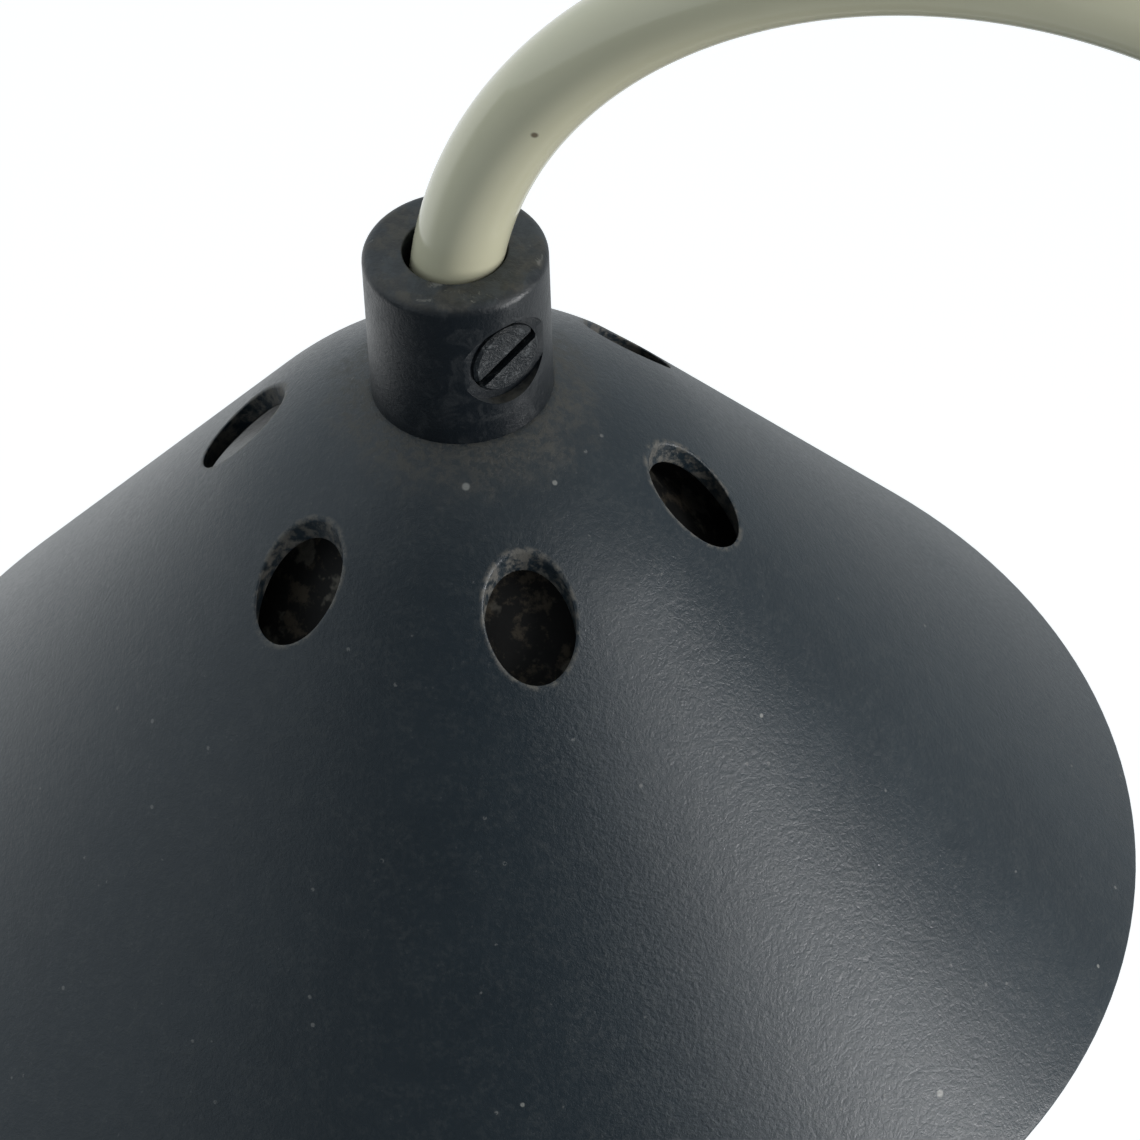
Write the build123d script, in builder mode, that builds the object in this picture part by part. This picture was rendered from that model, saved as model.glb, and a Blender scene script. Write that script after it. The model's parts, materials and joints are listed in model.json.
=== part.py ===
from build123d import *
from math import atan, cos, degrees, radians, sin, sqrt, tan
import os

# Arc floor lamp. A weighted round base carries an upright tube, a bent tube (the bow) telescopes
# in it and arches over, and a conical shade hangs from the bow's end by a clamped collar.
# Frame: millimetres, +Z up, origin at the centre of the base's underside, where it meets the
# floor. The upright stands on the Z axis and the shade hangs towards -X.
# Screw threads are left as plain cylinders of the thread's outer size.

os.makedirs("parts", exist_ok=True)

# ---------------------------------------------------------------- driving dimensions
running_gap = 0.05            # radial gap of a shaft that turns or slides in its hole
thread_gap = 0.05             # radial gap between a plain thread and its hole
loose_gap = 0.3               # radial gap of a clearance hole
overcut = 1.0                 # how far a cut runs past the face it starts from
screw_side = -41.0            # the clamp screws face this way, in degrees from +X

# Base
base_radius = 120.0
base_top = 36.0
cover_wall = 1.2
cover_lift = 2.5              # the cover's skirt ends this far above the floor
shoulder_round = 12.0
foot_height = 4.0
foot_radius = 10.0
foot_spigot = 3.9
foot_circle = 96.0
plate_radius = 117.0
plate_thickness = 1.5
weight_radius = 116.0
weight_top = 27.0
groove_width = 16.0           # flex channel under the weight
groove_top = 19.0
well_radius = 15.0            # nut well under the weight
well_top = 20.0
screw_circle = 100.0
screw_radius = 2.0
screw_head_radius = 3.5
screw_head_height = 1.6
screw_length = 12.0
screw_cross = 4.0             # cross recess of a screw head
screw_cross_width = 0.9
screw_cross_depth = 1.0
pad_flange = 4.0              # the centre pad stands this far past the nut well
nut_bottom = 12.5
nut_radius = 8.5
nut_height = 6.0
washer_radius = 12.0
spacer_radius = 16.0

# Inlet grommet and terminal block
inlet_height = 12.0
inlet_radius = 5.2
grommet_flange = 7.5
grommet_lip = 1.9
grommet_neck = 5.0
grommet_barb = 6.0
grommet_bore = 3.5
grommet_inside = base_radius - 4.5
terminal_x = 66.0
terminal_floor = 6.0
terminal_length = 30.0
terminal_width = 24.0
terminal_height = 9.0
terminal_pitch = (16.0, 7.5)
terminal_hole = 2.2
base_flex_height = 9.0
base_flex_bend = 5.0

# Foot switch
switch_x = -72.0
switch_radius = 13.0
bezel_radius = 12.0
bezel_height = 3.0
switch_bottom = 12.0
switch_neck = 8.0
switch_neck_top = 40.0
button_radius = 6.0
button_top = 45.0
button_bottom = 30.0
spring_floor = 20.0
spring_radius = 4.2
spring_wire = 0.45
spring_turns = 4

# Hollow stud and socket that carry the upright
stud_radius = 5.0
stud_bore = 3.5
stud_bottom = 12.0
stud_top = 45.0
socket_radius = 18.0
socket_height = 42.0
socket_floor = 10.0
socket_screw_radius = 4.0
socket_screw_height = 62.0

# Upright and height clamp
upright_radius = 11.0
upright_wall = 1.2
upright_top = 600.0
bush_length = 30.0
bush_flange = 3.0
clamp_radius = 15.0
clamp_overlap = 18.0          # how far the clamp reaches down over the upright
clamp_height = 42.0
thumb_side = -90.0
thumb_radius = 3.0
knob_radius = 9.0
knob_length = 12.0
knob_gap = 2.0
knob_flutes = 12
flute_radius = 1.5

# Bow
tube_radius = 6.0
tube_wall = 1.0
crook_radius = 68.0           # tight bend above the shade
crook_turn = 130.0
arch_radius = 900.0           # long bend down to the upright
bow_bottom = 270.0
slider_length = 30.0
slider_gap = 0.1
flex_radius = 2.5
slack_radius = 7.5            # outside of the flex's slack coil in the upright
flex_end_depth = 36.0         # the flex through the bow ends this far below the collar's top
flex_gap = 2.0                # between the slider and the slack coil

# Shade end, measured down from the top of the collar
collar_top = 1438.0
collar_radius = 12.0
collar_height = 23.0
collar_round = 1.5
mouth_radius = 6.75
tube_offset = 0.58            # the clamp screw holds the tube this far off the collar's centre
bend_depth = 12.5             # the crook begins this far down in the collar
tube_depth = 15.8
socket_depth = 16.0
clamp_screw_radius = 5.0
clamp_screw_depth = 10.9
spot_radius = 6.5
spot_depth = 0.8              # the screws' faces lie this far inside their collars
mouth_chamfer = 0.3
wall = 2.8
crown_slope = 23.9            # the shade leaves the collar this steep, in degrees
cone_slope = 50.8
crown_radius = 57.9
rim_radius = 93.2              # to the rim's corner before it is rounded
rim_round = 0.5
vent_radius = 5.9
vent_circle = 30.9
vent_count = 6

# Inside the shade
washer_thickness = 1.2
reflector_wall = 0.8
reflector_knee = (24.0, -42.0)
reflector_rim = 75.0
nipple_top = -16.6
nipple_bottom = -34.5
holder_radius = 14.5
holder_joint = -46.0          # where the holder's cap meets its skirt
holder_bottom = -70.0
insert_top = -44.0
insert_bottom = -50.0
insert_radius = 11.35
cap_wall = 1.5                # of the holder's cap and skirt
terminal_offset = 6.0         # the holder's terminals stand this far off its axis
lamp_shell_radius = 7.05      # inside of the threaded shell
bulb_cap_radius = 6.95
bulb_radius = 18.5
bulb_bottom = -111.0
flare_radius = 5.8            # where the globe narrows into its neck
glass = 1.0
cap_length = 17.0
insulator_height = 2.2

# ---------------------------------------------------------------- derived places
plate_top = foot_height + plate_thickness
cover_inside = base_top - cover_wall
spring_coil_height = button_bottom - spring_floor
upright_bottom = base_top + socket_floor
upright_bore = upright_radius - upright_wall
clamp_bottom = upright_top - clamp_overlap
thumb_height = upright_top + bush_flange + 10.0
tube_bore = tube_radius - tube_wall
slider_bottom = bow_bottom - slider_length
slack_top = slider_bottom - flex_gap
slack_bottom = upright_bottom + 4.0

# The bow turns from straight up, over the crook and down the long arch to straight down.
reach = crook_radius * (1 - cos(radians(crook_turn))) + arch_radius * (1 + cos(radians(crook_turn)))
shade_x = tube_offset - reach
shade_axis = Axis((shade_x, 0, collar_top), (0, 0, 1))
shade_section = Plane(origin=(shade_x, 0, collar_top), x_dir=(1, 0, 0), z_dir=(0, -1, 0))


def level(height):
    """Horizontal plane on the base's axis."""
    return Plane.XY.offset(height)


def shade_level(depth):
    """Horizontal plane on the shade's axis, at a depth below the collar's top."""
    return Plane(origin=(shade_x, 0, collar_top + depth))


def facing_out(axis_x, height, side, distance):
    """Plane that faces away from a vertical axis, in the direction side, at a distance from it."""
    out = Vector(cos(radians(side)), sin(radians(side)), 0)
    across = Vector(-sin(radians(side)), cos(radians(side)), 0)
    return Plane(origin=Vector(axis_x, 0, height) + out * distance, x_dir=across, z_dir=out)


def slotted_screw(face, radius, length, slot_turn):
    """Slotted grub screw with a dog point, worked inwards from the plane of its face."""
    tip_length = 0.3 * length
    outwards = Axis(face.origin, face.z_dir)
    with BuildPart() as screw:
        with BuildSketch(face):
            Circle(radius - running_gap)
        extrude(amount=tip_length - length)
        chamfer(screw.faces().sort_by(outwards)[-1].edges(), 0.4)
        with BuildSketch(face.offset(tip_length - length)):
            Circle(0.6 * radius)
        extrude(amount=-tip_length)
        with BuildSketch(face):
            Rectangle(2.2 * radius, 0.3 * radius, rotation=slot_turn)
        extrude(amount=-0.34 * radius, mode=Mode.SUBTRACT)
    return screw


# ================================================================ base
with BuildPart() as base_cover:
    with BuildSketch(Plane.XZ) as cover_profile:
        with BuildLine():
            Polyline(
                (stud_radius + loose_gap, cover_inside),
                (stud_radius + loose_gap, base_top),
                (base_radius, base_top),
                (base_radius, cover_lift),
                (base_radius - cover_wall, cover_lift),
                (base_radius - cover_wall, cover_inside),
                close=True,
            )
        make_face()
        top_corners = cover_profile.vertices().group_by(Axis.Y)[-1]
        fillet(top_corners.sort_by(Axis.X)[-1], shoulder_round)
        under_corners = cover_profile.vertices().filter_by_position(
            Axis.Y, cover_inside - 0.01, cover_inside + 0.01
        )
        fillet(under_corners.sort_by(Axis.X)[-1], shoulder_round - cover_wall)
    revolve(axis=Axis.Z)
    # hole for the switch's neck
    with BuildSketch(Plane((switch_x, 0, cover_inside - overcut))):
        Circle(switch_neck + loose_gap)
    extrude(amount=cover_wall + 2 * overcut, mode=Mode.SUBTRACT)
    # hole for the inlet grommet
    with BuildSketch(facing_out(0, inlet_height, 0, base_radius - 4 * overcut)):
        Circle(inlet_radius)
    extrude(amount=8 * overcut, mode=Mode.SUBTRACT)
base_cover.part.label = "base_cover"
export_step(base_cover.part, "parts/base_cover.step")

with BuildPart() as base_weight:
    with BuildSketch(level(plate_top)):
        Circle(weight_radius)
    extrude(amount=weight_top - plate_top)
    chamfer(base_weight.edges().filter_by(GeomType.CIRCLE), 1)
    with BuildSketch(level(plate_top)):
        Circle(well_radius)
    extrude(amount=well_top - plate_top, mode=Mode.SUBTRACT)
    # channel from the well to the inlet, widened for the terminal block
    with BuildSketch(level(plate_top)):
        with Locations((base_radius / 2, 0)):
            Rectangle(base_radius, groove_width)
        with Locations((terminal_x, 0)):
            Rectangle(terminal_length + 10, terminal_width + 4)
    extrude(amount=groove_top - plate_top, mode=Mode.SUBTRACT)
    with BuildSketch(level(plate_top)):
        Circle(stud_radius + loose_gap)
        with Locations((switch_x, 0)):
            Circle(switch_radius + 1.5)
    extrude(amount=weight_top - plate_top, mode=Mode.SUBTRACT)
    with BuildSketch(level(plate_top)):
        with PolarLocations(screw_circle, 3, start_angle=30):
            Circle(screw_radius)
    extrude(amount=screw_length, mode=Mode.SUBTRACT)
base_weight.part.label = "base_weight"
export_step(base_weight.part, "parts/base_weight.step")

with BuildPart() as base_plate:
    with BuildSketch(level(foot_height)):
        Circle(plate_radius)
        Circle(well_radius - 1, mode=Mode.SUBTRACT)
        with PolarLocations(foot_circle, 4, start_angle=45):
            Circle(foot_spigot + 0.1, mode=Mode.SUBTRACT)
        with PolarLocations(screw_circle, 3, start_angle=30):
            Circle(screw_radius + 0.15, mode=Mode.SUBTRACT)
    extrude(amount=plate_thickness)
base_plate.part.label = "base_plate"
export_step(base_plate.part, "parts/base_plate.step")

# Three pan-head screws hold the plate to the weight.
with BuildPart() as base_screws:
    with BuildSketch(level(foot_height - screw_head_height)):
        with PolarLocations(screw_circle, 3, start_angle=30):
            Circle(screw_head_radius)
    extrude(amount=screw_head_height)
    fillet(base_screws.edges().group_by(Axis.Z)[0], 0.6)
    with BuildSketch(level(foot_height)):
        with PolarLocations(screw_circle, 3, start_angle=30):
            Circle(screw_radius - 0.02)
    extrude(amount=screw_length)
    with BuildSketch(level(foot_height - screw_head_height)):
        with PolarLocations(screw_circle, 3, start_angle=30):
            Rectangle(screw_cross, screw_cross_width)
            Rectangle(screw_cross_width, screw_cross)
    extrude(amount=screw_cross_depth, mode=Mode.SUBTRACT)
base_screws.part.label = "base_screws"
export_step(base_screws.part, "parts/base_screws.step")

# Four rubber feet, each with a spigot pressed into the plate.
for number, spot in enumerate(PolarLocations(foot_circle, 4, start_angle=45), start=1):
    centre = spot.position
    with BuildPart() as foot:
        with BuildSketch(Plane((centre.X, centre.Y, 0))):
            Circle(foot_radius)
        extrude(amount=foot_height)
        fillet(foot.edges().group_by(Axis.Z)[0], 1)
        with BuildSketch(Plane((centre.X, centre.Y, foot_height))):
            Circle(foot_spigot)
        extrude(amount=plate_thickness)
    foot.part.label = f"foot_{number}"
    export_step(foot.part, f"parts/foot_{number}.step")

# Rubber bung that closes the nut well and rests on the floor in the middle of the base.
with BuildPart() as centre_pad:
    with BuildSketch(level(0)):
        Circle(well_radius + pad_flange)
    extrude(amount=foot_height)
    fillet(centre_pad.edges().group_by(Axis.Z)[0], 1)
    with BuildSketch(level(foot_height)):
        Circle(well_radius - 1.1)
    extrude(amount=plate_thickness)
centre_pad.part.label = "centre_pad"
export_step(centre_pad.part, "parts/centre_pad.step")

# Rubber grommet where a mains lead would come in through the skirt.
with BuildPart() as inlet_grommet:
    with BuildSketch(facing_out(0, inlet_height, 0, base_radius + 0.1)):
        Circle(grommet_flange)
    extrude(amount=grommet_lip)
    fillet(inlet_grommet.faces().sort_by(Axis.X)[-1].edges(), 0.8)
    with BuildSketch(facing_out(0, inlet_height, 0, grommet_inside)):
        Circle(grommet_neck)
    extrude(amount=base_radius + 0.1 - grommet_inside)
    with BuildSketch(facing_out(0, inlet_height, 0, grommet_inside)):
        Circle(grommet_barb)
    extrude(amount=2.9)
    with BuildSketch(facing_out(0, inlet_height, 0, grommet_inside)):
        Circle(grommet_bore)
    extrude(amount=base_radius + 0.1 + grommet_lip - grommet_inside, mode=Mode.SUBTRACT)
inlet_grommet.part.label = "inlet_grommet"
export_step(inlet_grommet.part, "parts/inlet_grommet.step")

# Terminal block in the weight's channel: three ways, with a clamp screw above each.
with BuildPart() as terminal_block:
    with BuildSketch(Plane((terminal_x, 0, terminal_floor))):
        RectangleRounded(terminal_length, terminal_width, 1.5)
    extrude(amount=terminal_height)
    with BuildSketch(Plane((terminal_x, 0, terminal_floor))):
        with GridLocations(*terminal_pitch, 2, 3):
            Circle(terminal_hole)
    extrude(amount=4, mode=Mode.SUBTRACT)
terminal_block.part.label = "terminal_block"
export_step(terminal_block.part, "parts/terminal_block.step")

with BuildPart() as terminal_screws:
    with BuildSketch(Plane((terminal_x, 0, terminal_floor + 1))):
        with GridLocations(*terminal_pitch, 2, 3):
            Circle(terminal_hole - loose_gap)
    extrude(amount=3)
    with BuildSketch(Plane((terminal_x, 0, terminal_floor + 1))):
        with GridLocations(*terminal_pitch, 2, 3):
            Rectangle(2 * terminal_hole, 0.6)
    extrude(amount=0.8, mode=Mode.SUBTRACT)
terminal_screws.part.label = "terminal_screws"
export_step(terminal_screws.part, "parts/terminal_screws.step")

# Flex from the terminal block to the hollow stud, and up through it.
base_flex_start = Vector(terminal_x - terminal_length / 2 - 0.5, 0, base_flex_height)
with BuildPart() as base_flex:
    with BuildLine():
        FilletPolyline(
            base_flex_start, (0, 0, base_flex_height), (0, 0, slack_bottom), radius=base_flex_bend
        )
    with BuildSketch(Plane(origin=base_flex_start, z_dir=(-1, 0, 0))):
        Circle(flex_radius)
    sweep()
base_flex.part.label = "base_flex"
export_step(base_flex.part, "parts/base_flex.step")

# ================================================================ foot switch
with BuildPart() as switch_body:
    with BuildSketch(Plane((switch_x, 0, switch_bottom))):
        Circle(switch_radius)
    extrude(amount=cover_inside - switch_bottom)
    fillet(switch_body.edges().group_by(Axis.Z)[0], 1.5)
    with BuildSketch(Plane((switch_x, 0, cover_inside))):
        Circle(switch_neck)
    extrude(amount=switch_neck_top - cover_inside)
    with BuildSketch(Plane((switch_x, 0, spring_floor))):
        Circle(button_radius + running_gap)
    extrude(amount=switch_neck_top - spring_floor, mode=Mode.SUBTRACT)
switch_body.part.label = "switch_body"
export_step(switch_body.part, "parts/switch_body.step")

with BuildPart() as switch_bezel:
    with BuildSketch(Plane((switch_x, 0, base_top))):
        Circle(bezel_radius)
        Circle(switch_neck + thread_gap, mode=Mode.SUBTRACT)
    extrude(amount=bezel_height)
    fillet(switch_bezel.edges().group_by(Axis.Z)[-1].sort_by(SortBy.LENGTH)[-1], 1.2)
switch_bezel.part.label = "switch_bezel"
export_step(switch_bezel.part, "parts/switch_bezel.step")

with BuildPart() as switch_button:
    with BuildSketch(Plane((switch_x, 0, button_bottom))):
        Circle(button_radius)
    extrude(amount=button_top - button_bottom)
    fillet(switch_button.edges().group_by(Axis.Z)[-1], 1.5)
switch_button.part.label = "switch_button"
export_step(switch_button.part, "parts/switch_button.step")

coil_rise = spring_coil_height - 2 * spring_wire
with BuildPart() as switch_spring:
    with BuildLine(Plane((switch_x, 0, spring_floor + spring_wire))):
        Helix(pitch=coil_rise / spring_turns, height=coil_rise, radius=spring_radius)
    with BuildSketch(Plane(switch_spring.pending_edges[0] @ 0, z_dir=switch_spring.pending_edges[0] % 0)):
        Circle(spring_wire)
    sweep(is_frenet=True)
switch_spring.part.label = "switch_spring"
export_step(switch_spring.part, "parts/switch_spring.step")

# ================================================================ stud, socket and upright
with BuildPart() as base_stud:
    with BuildSketch(level(stud_bottom)):
        Circle(stud_radius - thread_gap)
        Circle(stud_bore, mode=Mode.SUBTRACT)
    extrude(amount=stud_top - stud_bottom)
base_stud.part.label = "base_stud"
export_step(base_stud.part, "parts/base_stud.step")

with BuildPart() as stud_nut:
    with BuildSketch(level(nut_bottom)):
        RegularPolygon(radius=nut_radius, side_count=6, major_radius=False)
        Circle(stud_radius, mode=Mode.SUBTRACT)
    extrude(amount=nut_height)
stud_nut.part.label = "stud_nut"
export_step(stud_nut.part, "parts/stud_nut.step")

with BuildPart() as stud_washer:
    with BuildSketch(level(nut_bottom + nut_height)):
        Circle(washer_radius)
        Circle(stud_radius + loose_gap, mode=Mode.SUBTRACT)
    extrude(amount=well_top - nut_bottom - nut_height)
stud_washer.part.label = "stud_washer"
export_step(stud_washer.part, "parts/stud_washer.step")

# The spacer keeps the stud's pull from crushing the cover.
with BuildPart() as stud_spacer:
    with BuildSketch(level(weight_top)):
        Circle(spacer_radius)
        Circle(stud_radius + loose_gap, mode=Mode.SUBTRACT)
    extrude(amount=cover_inside - weight_top)
stud_spacer.part.label = "stud_spacer"
export_step(stud_spacer.part, "parts/stud_spacer.step")

socket_screw_face = facing_out(0, socket_screw_height, screw_side, socket_radius - spot_depth)
with BuildPart() as base_socket:
    with BuildSketch(level(base_top)):
        Circle(socket_radius)
    extrude(amount=socket_height)
    fillet(base_socket.edges().group_by(Axis.Z)[-1], 2)
    with BuildSketch(level(upright_bottom)):
        Circle(upright_radius + running_gap)
    extrude(amount=socket_height, mode=Mode.SUBTRACT)
    with BuildSketch(level(base_top)):
        Circle(stud_radius)
    extrude(amount=socket_floor, mode=Mode.SUBTRACT)
    with BuildSketch(socket_screw_face):
        Circle(socket_screw_radius)
    extrude(amount=-socket_radius / 2, mode=Mode.SUBTRACT)
    with BuildSketch(socket_screw_face.offset(-1)):
        Circle(socket_screw_radius + 1.3)
    extrude(amount=4, mode=Mode.SUBTRACT)
base_socket.part.label = "base_socket"
export_step(base_socket.part, "parts/base_socket.step")

socket_screw = slotted_screw(
    socket_screw_face, socket_screw_radius, socket_radius - spot_depth - upright_radius - 0.15, 35
)
socket_screw.part.label = "socket_screw"
export_step(socket_screw.part, "parts/socket_screw.step")

with BuildPart() as upright:
    with BuildSketch(level(upright_bottom)):
        Circle(upright_radius)
        Circle(upright_bore, mode=Mode.SUBTRACT)
    extrude(amount=upright_top - upright_bottom)
upright.part.label = "upright"
export_step(upright.part, "parts/upright.step")

# ================================================================ height clamp
# Flanged nylon bush in the top of the upright guides the bow.
with BuildPart() as guide_bush:
    with BuildSketch(level(upright_top - bush_length)):
        Circle(upright_bore - running_gap)
    extrude(amount=bush_length)
    with BuildSketch(level(upright_top)):
        Circle(upright_radius - 0.1)
    extrude(amount=bush_flange)
    with BuildSketch(level(upright_top - bush_length)):
        Circle(tube_radius + running_gap)
    extrude(amount=bush_length + bush_flange, mode=Mode.SUBTRACT)
guide_bush.part.label = "guide_bush"
export_step(guide_bush.part, "parts/guide_bush.step")

thumb_face = facing_out(0, thumb_height, thumb_side, clamp_radius)
with BuildPart() as height_clamp:
    with BuildSketch(level(clamp_bottom)):
        Circle(clamp_radius)
    extrude(amount=clamp_height)
    fillet(height_clamp.edges().group_by(Axis.Z)[-1], 2.5)
    fillet(height_clamp.edges().group_by(Axis.Z)[0], 1)
    with BuildSketch(level(clamp_bottom)):
        Circle(upright_radius + running_gap)
    extrude(amount=clamp_overlap + bush_flange, mode=Mode.SUBTRACT)
    with BuildSketch(level(clamp_bottom)):
        Circle(tube_radius + loose_gap + 0.1)
    extrude(amount=clamp_height, mode=Mode.SUBTRACT)
    with BuildSketch(thumb_face):
        Circle(thumb_radius + running_gap)
    extrude(amount=-clamp_radius + tube_radius / 2, mode=Mode.SUBTRACT)
height_clamp.part.label = "height_clamp"
export_step(height_clamp.part, "parts/height_clamp.step")

thumb_tip = facing_out(0, thumb_height, thumb_side, tube_radius + 0.15)
with BuildPart() as thumb_stud:
    with BuildSketch(thumb_tip):
        Circle(thumb_radius)
    extrude(amount=clamp_radius + knob_gap + 0.6 * knob_length - tube_radius - 0.15)
thumb_stud.part.label = "thumb_stud"
export_step(thumb_stud.part, "parts/thumb_stud.step")

# Knob with twelve finger flutes round its rim.
knob_back = facing_out(0, thumb_height, thumb_side, clamp_radius + knob_gap)
with BuildPart() as thumb_knob:
    with BuildSketch(knob_back):
        Circle(knob_radius)
        with PolarLocations(knob_radius + flute_radius / 3, knob_flutes):
            Circle(flute_radius, mode=Mode.SUBTRACT)
    extrude(amount=knob_length)
    fillet(thumb_knob.edges().group_by(Axis.Y)[0], 0.8)
    with BuildSketch(knob_back):
        Circle(0.6 * knob_radius)
    extrude(amount=-knob_gap / 2)
    with BuildSketch(knob_back.offset(-knob_gap / 2)):
        Circle(thumb_radius)
    extrude(amount=knob_gap / 2 + 0.6 * knob_length, mode=Mode.SUBTRACT)
thumb_knob.part.label = "thumb_knob"
export_step(thumb_knob.part, "parts/thumb_knob.step")

# ================================================================ bow
def bow_line(start_depth, end_height):
    """Centreline of the bow: up out of the collar, over the crook, down the arch to the upright."""
    bend = Vector(-reach, 0, collar_top - bend_depth)
    with BuildLine(Plane.XZ) as line:
        Line((-reach, collar_top + start_depth), (bend.X, bend.Z))
        crook = JernArc((bend.X, bend.Z), (0, 1), crook_radius, -crook_turn)
        arch = JernArc(crook @ 1, crook % 1, arch_radius, crook_turn - 180)
        Line(arch @ 1, (0, end_height))
    return line.line


with BuildPart() as bow_tube:
    with BuildSketch(Plane((-reach, 0, collar_top - tube_depth))):
        Circle(tube_radius)
        Circle(tube_bore, mode=Mode.SUBTRACT)
    sweep(path=bow_line(-tube_depth, bow_bottom))
bow_tube.part.label = "bow_tube"
export_step(bow_tube.part, "parts/bow_tube.step")

with BuildPart() as bow_flex:
    with BuildSketch(Plane((-reach, 0, collar_top - flex_end_depth))):
        Circle(flex_radius)
    sweep(path=bow_line(-flex_end_depth, slack_top))
bow_flex.part.label = "bow_flex"
export_step(bow_flex.part, "parts/bow_flex.step")

# Nylon slider that keeps the bow's lower end centred in the upright.
with BuildPart() as bow_slider:
    with BuildSketch(level(slider_bottom)):
        Circle(upright_bore - slider_gap)
    extrude(amount=slider_length)
    chamfer(bow_slider.edges().group_by(Axis.Z)[0], 1)
    with BuildSketch(level(bow_bottom)):
        Circle(tube_bore - running_gap)
    extrude(amount=slider_length)
    with BuildSketch(level(slider_bottom)):
        Circle(flex_radius + 0.5)
    extrude(amount=2 * slider_length, mode=Mode.SUBTRACT)
bow_slider.part.label = "bow_slider"
export_step(bow_slider.part, "parts/bow_slider.step")

# The flex's slack is a loose coil below the slider, modelled as the coil's outer shape.
with BuildPart() as slack_flex:
    with BuildSketch(level(slack_bottom)):
        Circle(slack_radius)
    extrude(amount=slack_top - slack_bottom)
slack_flex.part.label = "slack_flex"
export_step(slack_flex.part, "parts/slack_flex.step")

# ================================================================ collar and its clamp screw
clamp_face = facing_out(shade_x, collar_top - clamp_screw_depth, screw_side, collar_radius - spot_depth)
with BuildPart() as shade_collar:
    with BuildSketch(shade_level(-collar_height)):
        Circle(collar_radius)
    extrude(amount=collar_height)
    fillet(shade_collar.edges().group_by(Axis.Z)[-1], collar_round)
    with BuildSketch(shade_level(0)):
        Circle(mouth_radius)
    extrude(amount=-bend_depth, mode=Mode.SUBTRACT)
    chamfer(shade_collar.edges().group_by(Axis.Z)[-1].sort_by(SortBy.LENGTH)[0], mouth_chamfer)
    # the tube's seat, and the nipple's thread below it
    with BuildSketch(shade_level(-bend_depth)):
        with Locations((-tube_offset, 0)):
            Circle(tube_radius + running_gap)
    extrude(amount=bend_depth - socket_depth, mode=Mode.SUBTRACT)
    with BuildSketch(shade_level(-collar_height)):
        Circle(stud_radius)
    extrude(amount=collar_height, mode=Mode.SUBTRACT)
    with BuildSketch(clamp_face):
        Circle(clamp_screw_radius)
    extrude(amount=-collar_radius + 3, mode=Mode.SUBTRACT)
    with BuildSketch(clamp_face.offset(-spot_depth)):
        Circle(spot_radius)
    extrude(amount=4, mode=Mode.SUBTRACT)
shade_collar.part.label = "shade_collar"
export_step(shade_collar.part, "parts/shade_collar.step")

collar_screw = slotted_screw(
    clamp_face, clamp_screw_radius, collar_radius - spot_depth - tube_radius + 0.15, 27.7
)
collar_screw.part.label = "collar_screw"
export_step(collar_screw.part, "parts/collar_screw.step")

# ================================================================ shade
# Its outside leaves the collar at the crown's slope, bends down along one arc to the cone's
# slope and runs straight to the rim; the inside follows at the wall's thickness.
with BuildPart() as shade:
    with BuildSketch(shade_section):
        with BuildLine():
            fall = radians(crown_slope)
            drop = radians(cone_slope)
            top = Line((stud_radius + 0.2, -collar_height), (collar_radius, -collar_height))
            crown = JernArc(top @ 1, (cos(fall), -sin(fall)), crown_radius, crown_slope - cone_slope)
            foot_of_crown = crown @ 1
            cone_run = rim_radius - foot_of_crown.X
            cone = Line(foot_of_crown, (rim_radius, foot_of_crown.Y - cone_run * tan(drop)))
            inwards = Vector(-sin(drop), -cos(drop)) * wall
            rim = Line(cone @ 1, (cone @ 1) - Vector(wall / sin(drop), 0))
            inner_cone = Line(rim @ 1, foot_of_crown + inwards)
            inner_crown = JernArc(
                inner_cone @ 1, (-cos(drop), sin(drop)), crown_radius - wall, cone_slope - crown_slope
            )
            under = Line(inner_crown @ 1, (collar_radius - 1.5, -collar_height - wall))
            floor_line = Line(under @ 1, (stud_radius + 0.2, -collar_height - wall))
            Line(floor_line @ 1, top @ 0)
        make_face()
    revolve(axis=shade_axis)
    rim_edges = shade.edges().filter_by(GeomType.CIRCLE).sort_by(SortBy.LENGTH)
    fillet(rim_edges[-1], rim_round)
    # vents, bored straight down through the crown
    with BuildSketch(shade_level(-collar_height)):
        with PolarLocations(vent_circle, vent_count):
            Circle(vent_radius)
    extrude(amount=-2 * collar_height, mode=Mode.SUBTRACT)
shade.part.label = "shade"
export_step(shade.part, "parts/shade.step")

# Hollow threaded nipple: collar, shade, reflector and lamp holder all hang on it.
with BuildPart() as shade_nipple:
    with BuildSketch(shade_level(nipple_top)):
        Circle(stud_radius - thread_gap)
        Circle(stud_bore, mode=Mode.SUBTRACT)
    extrude(amount=nipple_bottom - nipple_top)
shade_nipple.part.label = "shade_nipple"
export_step(shade_nipple.part, "parts/shade_nipple.step")

under_shade = -collar_height - wall
with BuildPart() as shade_washer:
    with BuildSketch(shade_level(under_shade)):
        Circle(collar_radius - 2)
        Circle(stud_radius + 0.2, mode=Mode.SUBTRACT)
    extrude(amount=-washer_thickness)
shade_washer.part.label = "shade_washer"
export_step(shade_washer.part, "parts/shade_washer.step")

# Spun reflector inside the shade; the space between them carries the warm air to the vents.
reflector_top = under_shade - washer_thickness
knee_radius, knee_depth = reflector_knee
reflector_drop = (reflector_rim - knee_radius) * tan(radians(cone_slope))
with BuildPart() as shade_reflector:
    with BuildSketch(shade_section) as reflector_profile:
        with BuildLine() as reflector_line:
            Polyline(
                (stud_radius + 0.8, reflector_top - reflector_wall / 2),
                (collar_radius - 1, reflector_top - reflector_wall / 2),
                (knee_radius, knee_depth),
                (reflector_rim, knee_depth - reflector_drop),
            )
            fillet(reflector_line.vertices().sort_by(Axis.X)[1:3], 6)
            offset(amount=reflector_wall / 2, side=Side.BOTH)
        make_face()
    revolve(axis=shade_axis)
shade_reflector.part.label = "shade_reflector"
export_step(shade_reflector.part, "parts/shade_reflector.step")

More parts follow.
